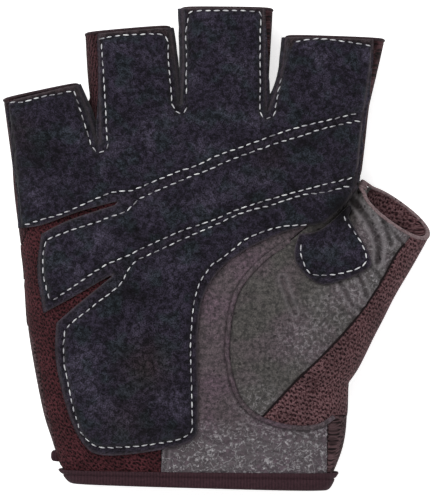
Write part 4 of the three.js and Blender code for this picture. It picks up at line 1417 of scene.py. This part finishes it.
def object_noise(tree, size, detail=2.0, roughness=0.5, distortion=0.0):
    """Noise whose cells are about that many metres wide, in the object's own coordinates."""
    return add(tree, "ShaderNodeTexNoise", {
        "Vector": add(tree, "ShaderNodeTexCoord").outputs["Object"], "Scale": 1 / size,
        "Detail": detail, "Roughness": roughness, "Distortion": distortion,
    }).outputs["Fac"]


def ramp(tree, value, stops):
    """Colours between stops of (place, hex colour)."""
    made = add(tree, "ShaderNodeValToRGB", {"Fac": value})
    made.color_ramp.interpolation = "EASE"
    while len(made.color_ramp.elements) < len(stops):
        made.color_ramp.elements.new(0.5)
    for element, (place, colour) in zip(made.color_ramp.elements, stops):
        element.position = place
        element.color = linear(colour)
    return made.outputs["Color"]


def blended(tree, share, first, second):
    """Two colours mixed, by a number or by a socket."""
    made = add(tree, "ShaderNodeMix", data_type="RGBA")
    for index, value in ((0, share), (6, first), (7, second)):
        if isinstance(value, bpy.types.NodeSocket):
            tree.links.new(value, made.inputs[index])
        else:
            made.inputs[index].default_value = value
    return made.outputs[2]


def maths(tree, how, first, second=0):
    return add(tree, "ShaderNodeMath", {0: first, 1: second}, operation=how).outputs[0]


def remapped(tree, value, low, high, to_low, to_high):
    """A value carried smoothly from one range to another."""
    return add(tree, "ShaderNodeMapRange", {
        "Value": value, "From Min": low, "From Max": high, "To Min": to_low, "To Max": to_high,
    }, interpolation_type="SMOOTHSTEP").outputs["Result"]


def scaled(tree, colour, factor):
    """A colour made lighter or darker by a factor."""
    return add(tree, "ShaderNodeVectorMath", {0: colour, "Scale": factor}, operation="SCALE").outputs[0]


def tone(tree, name, strength=1.0):
    """One of the numbers that write_tones stored."""
    value = add(tree, "ShaderNodeAttribute", attribute_name=name).outputs["Fac"]
    return maths(tree, "MULTIPLY", value, strength)


def toned(tree, colour, tones):
    """A colour with others laid over it, each as strongly as a stored number says."""
    for name, strength, hex_colour in tones:
        colour = blended(tree, tone(tree, name, strength), colour, linear(hex_colour))
    return colour


def relief(tree, height, depth, under=None):
    """A bump of that many metres."""
    inputs = {"Height": height, "Distance": depth, "Strength": 1.0}
    if under:
        inputs["Normal"] = under
    return add(tree, "ShaderNodeBump", inputs).outputs["Normal"]


def finish_shader(tree, colour, normal, roughness, **sockets):
    inputs = {"Base Color": colour, "Normal": normal, "Roughness": roughness}
    inputs.update({name.replace("_", " "): value for name, value in sockets.items()})
    shader = add(tree, "ShaderNodeBsdfPrincipled", inputs)
    add(tree, "ShaderNodeOutputMaterial", {"Surface": shader.outputs["BSDF"]})


def split_suede():
    material, tree = new_material("split_suede_nap")
    patch = object_noise(tree, NAP_PATCH, 3, 0.55, 0.4)
    mottle = object_noise(tree, NAP_MOTTLE, 3, 0.6, 0.5)
    fibre = object_noise(tree, NAP_FIBRE, 2, 0.6)
    # nap patches, and painted shade between the thumb and the index finger
    brushed = maths(tree, "ADD", patch, tone(tree, "brushed", 0.35))
    colour = ramp(tree, brushed, [(0.25, "#151219"), (0.5, "#211d28"), (0.72, "#2f2b37"), (0.9, "#3c3744")])
    cool = remapped(tree, object_noise(tree, 6 * MM, 2), 0.48, 0.66, 0.0, 0.55)
    colour = blended(tree, cool, colour, linear("#1d2629"))
    colour = toned(tree, colour, (
        ("browned", 0.7, "#241b1a"), ("flange", 0.35, "#28232a"), ("hem", 0.8, "#2e2526"),
    ))
    colour = scaled(tree, colour, remapped(tree, mottle, 0.35, 0.65, 0.42, 1.60))
    colour = scaled(tree, colour, remapped(tree, fibre, 0.32, 0.68, 0.35, 1.75))
    # painted shade along the thread and the little finger's wrap, and deeper painted shade between the thumb
    # and the index finger
    colour = toned(tree, colour, (
        ("pressed", 0.45, "#0a080d"), ("cut_edge", 0.4, "#5c5256"), ("shaded", 0.8, "#060508"),
    ))
    bump = relief(tree, fibre, 0.10 * MM, relief(tree, mottle, 0.22 * MM))
    finish_shader(tree, colour, bump, 0.95, Specular_IOR_Level=0.1, Sheen_Weight=0.12, Sheen_Roughness=0.5)
    return material


# %% [markdown]
# ## Grain leather
# The smooth panels are thin corrected-grain leather. Its pores are small dark pits some millimetres
# apart, and between them runs a fine grain. Creases get painted shade in the fold and a painted highlight
# along the crest beside it, and at the crumpled heel and in a few spots on the thumb a net of ridges gets
# painted highlights. It has a dull shine.

# %% Material: grain leather
def grain_leather(name, pore_spacing, pore_depth):
    material, tree = new_material(name)
    pores = add(tree, "ShaderNodeTexVoronoi", {
        "Vector": add(tree, "ShaderNodeTexCoord").outputs["Object"], "Scale": 1 / pore_spacing,
    }).outputs["Distance"]
    worn = tone(tree, "worn")
    pits = remapped(tree, pores, 0.10, 0.24, pore_depth, 0.0)
    pits = maths(tree, "MULTIPLY", pits, maths(tree, "SUBTRACT", 1.0, worn))
    mottle = object_noise(tree, 1.1 * MM, 4, 0.62)
    grain = object_noise(tree, 0.4 * MM, 2, 0.6)
    crumple = object_noise(tree, 1.9 * MM, 4, 0.6, 0.7)
    ridge = maths(tree, "ABSOLUTE", maths(tree, "SUBTRACT", crumple, 0.5))
    ridge = maths(tree, "MULTIPLY", remapped(tree, ridge, 0.0, 0.07, 1.0, 0.0), worn)
    ridge = maths(tree, "MULTIPLY", ridge, remapped(tree, mottle, 0.40, 0.58, 0.1, 1.4))
    tint = object_noise(tree, 12 * MM, 2, 0.5)
    purple = maths(tree, "ADD", tone(tree, "purple", 0.8), remapped(tree, tint, 0.35, 0.65, -0.2, 0.3))
    colour = ramp(tree, purple, [(0.0, "#3e3b39"), (0.5, "#453b3f"), (1.0, "#4a3b44")])
    colour = scaled(tree, colour, remapped(tree, mottle, 0.32, 0.68, 0.5, 1.6))
    colour = scaled(tree, colour, remapped(tree, grain, 0.3, 0.7, 0.6, 1.45))
    # painted highlights: a paler tone, and pale lines along the crumpled ridges
    colour = toned(tree, colour, (("worn", 0.3, "#625d61"),))
    colour = blended(tree, maths(tree, "MULTIPLY", ridge, 0.95), colour, linear("#bdb8bc"))
    # painted highlight along the creases' crests
    colour = toned(tree, colour, (("crest", 0.5, "#8e898c"),))
    # painted shade in the creases' folds, beside the welt and between the thumb and the index finger,
    # together with the dark pores
    colour = blended(tree, maths(tree, "ADD", tone(tree, "folded", 0.75), pits), colour, linear("#171012"))
    bump = relief(tree, mottle, 0.16 * MM)
    bump = relief(tree, grain, 0.06 * MM, bump)
    bump = relief(tree, ridge, 0.30 * MM, bump)
    bump = relief(tree, maths(tree, "MULTIPLY", pits, -1.0), 0.15 * MM, bump)
    finish_shader(tree, colour, bump, 0.58, Specular_IOR_Level=0.3)
    return material


# %% [markdown]
# ## Warp-knit mesh
# The sides, the back and the outside of the thumb are an open warp knit of brown polyester. Small dark
# holes stand in offset rows about a millimetre apart, and the courses of loops run across between them
# as ribs, plainest on the thumb, where the cloth is pulled open. The thumb's knit is also given lighter
# colours, as painted light where it faces the light more.

# %% Material: warp knit
KNIT_PITCH = 1.15  # millimetres between holes, as the cloth's own map counts


def warp_knit(name, dark, middle, light, rib):
    material, tree = new_material(name)
    flat = add(tree, "ShaderNodeUVMap", uv_map="cloth").outputs["UV"]
    wander = add(tree, "ShaderNodeTexNoise", {"Vector": flat, "Scale": 0.45, "Detail": 2.0})
    wander = scaled(tree, wander.outputs["Color"], 1.6)
    bent = add(tree, "ShaderNodeVectorMath", {0: flat, 1: wander}, operation="ADD").outputs[0]
    place = add(tree, "ShaderNodeMapping", {
        "Vector": bent, "Rotation": (0, 0, math.radians(45)), "Scale": (1 / KNIT_PITCH, 1 / KNIT_PITCH, 1),
    }).outputs["Vector"]
    holes = add(tree, "ShaderNodeTexVoronoi", {
        "Vector": place, "Scale": 1.0, "Randomness": 0.55,
    }, voronoi_dimensions="2D").outputs["Distance"]
    ribs = add(tree, "ShaderNodeTexWave", {
        "Vector": bent, "Scale": 1 / KNIT_PITCH * 0.28, "Distortion": 0.8, "Detail": 1.0, "Detail Scale": 2.0,
    }, bands_direction="Y").outputs["Fac"]
    loops = add(tree, "ShaderNodeTexNoise", {"Vector": flat, "Scale": 2.0, "Detail": 3.0}).outputs["Fac"]
    height = maths(tree, "MULTIPLY", remapped(tree, holes, 0.08, 0.55, 0.0, 1.0), 1 - rib)
    height = maths(tree, "ADD", maths(tree, "MULTIPLY", ribs, rib), height)
    height = maths(tree, "MULTIPLY", height, remapped(tree, loops, 0.3, 0.7, 0.4, 1.4))
    colour = ramp(tree, height, [(0.12, dark), (0.42, middle), (0.82, light)])
    colour = scaled(tree, colour, remapped(tree, object_noise(tree, 8 * MM, 2), 0.35, 0.65, 0.8, 1.15))
    bump = relief(tree, height, 0.30 * MM)
    finish_shader(tree, colour, bump, 0.88, Specular_IOR_Level=0.15)
    return material


# %% [markdown]
# ## Thread, tape and turned edges
# Bonded polyester thread is white and picks up dirt, so some stitches are duller. The binding is a
# ribbed tape of the same brown as the knit. The fingers' turned rims are a close knit, and the thumb's is
# its own pale leather.

# %% Materials: thread, tape and edges
def sewing_thread():
    material, tree = new_material("bonded_polyester_thread")
    dirt = object_noise(tree, 3 * MM, 2)
    colour = ramp(tree, dirt, [(0.32, "#77757a"), (0.5, "#c4c3c8"), (0.65, "#dededf")])
    bump = relief(tree, object_noise(tree, 0.3 * MM, 1), 0.05 * MM)
    finish_shader(tree, colour, bump, 0.5, Specular_IOR_Level=0.3)
    return material


TAPE_RIB = 0.42 * MM


def ribbed_tape(name, dark, light, rib_depth):
    material, tree = new_material(name)
    ribs = add(tree, "ShaderNodeTexWave", {
        "Vector": add(tree, "ShaderNodeTexCoord").outputs["Object"], "Scale": 0.31 / TAPE_RIB,
        "Distortion": 1.0, "Detail": 1.0, "Detail Scale": 3.0,
    }, bands_direction="X").outputs["Fac"]
    grain = object_noise(tree, 0.7 * MM, 3, 0.6)
    height = maths(tree, "MULTIPLY", grain, 1 - rib_depth)
    height = maths(tree, "ADD", maths(tree, "MULTIPLY", ribs, rib_depth), height)
    colour = ramp(tree, height, [(0.2, dark), (0.75, light)])
    finish_shader(tree, colour, relief(tree, height, 0.15 * MM), 0.85, Specular_IOR_Level=0.15)
    return material


# %% Each piece gets its material
suede = split_suede()
finishes = {
    "suede_palm": (suede, "split_suede"),
    "thumb_patch": (suede, "split_suede"),
    "palm_leather": (grain_leather("corrected_grain_leather", 1.5 * MM, 0.6), "grain_leather"),
    "thumb_leather": (grain_leather("open_grain_leather", 2.5 * MM, 0.75), "grain_leather"),
    "palm_mesh": (warp_knit("warp_knit_mesh", "#0d0405", "#35181c", "#532a2f", 0.35), "knit_mesh"),
    # the thumb's knit has lighter colours than the palm's mesh: painted light, as the thumb faces the light
    # more
    "thumb_mesh": (warp_knit("pulled_warp_knit", "#170a0d", "#4c3134", "#745659", 0.4), "knit_mesh"),
    "back_panel": (warp_knit("dense_warp_knit", "#170f10", "#402f31", "#5c4649", 0.25), "knit_mesh"),
    "thread": (sewing_thread(), "split_suede"),
    "wrist_binding": (ribbed_tape("ribbed_binding_tape", "#150a0e", "#4a3138", 0.5), "binding_tape"),
    "finger_rims": (ribbed_tape("turned_knit_hem", "#191114", "#413236", 0.2), "knit_mesh"),
    "thumb_rim": (ribbed_tape("turned_leather_rim", "#4a3c3e", "#8c7779", 0.1), "grain_leather"),
}
finishes["seam_welt"] = finishes["palm_leather"]
finishes["pull_tab"] = finishes["wrist_binding"]
finishes["thumb_seam"] = (ribbed_tape("dark_seam_fold", "#0c0708", "#1f1416", 0.1), "knit_mesh")
side_wall = (warp_knit("ribbed_warp_knit", "#0c0405", "#321b1e", "#492f33", 0.55), "knit_mesh")
for name, piece in pieces.items():
    finish, slot = finishes.get(name, side_wall)
    piece.data.materials.append(finish)
print("materials:", sorted({finish.name for finish, _ in finishes.values()}))

# %% Bounds of the finished glove
low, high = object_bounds()
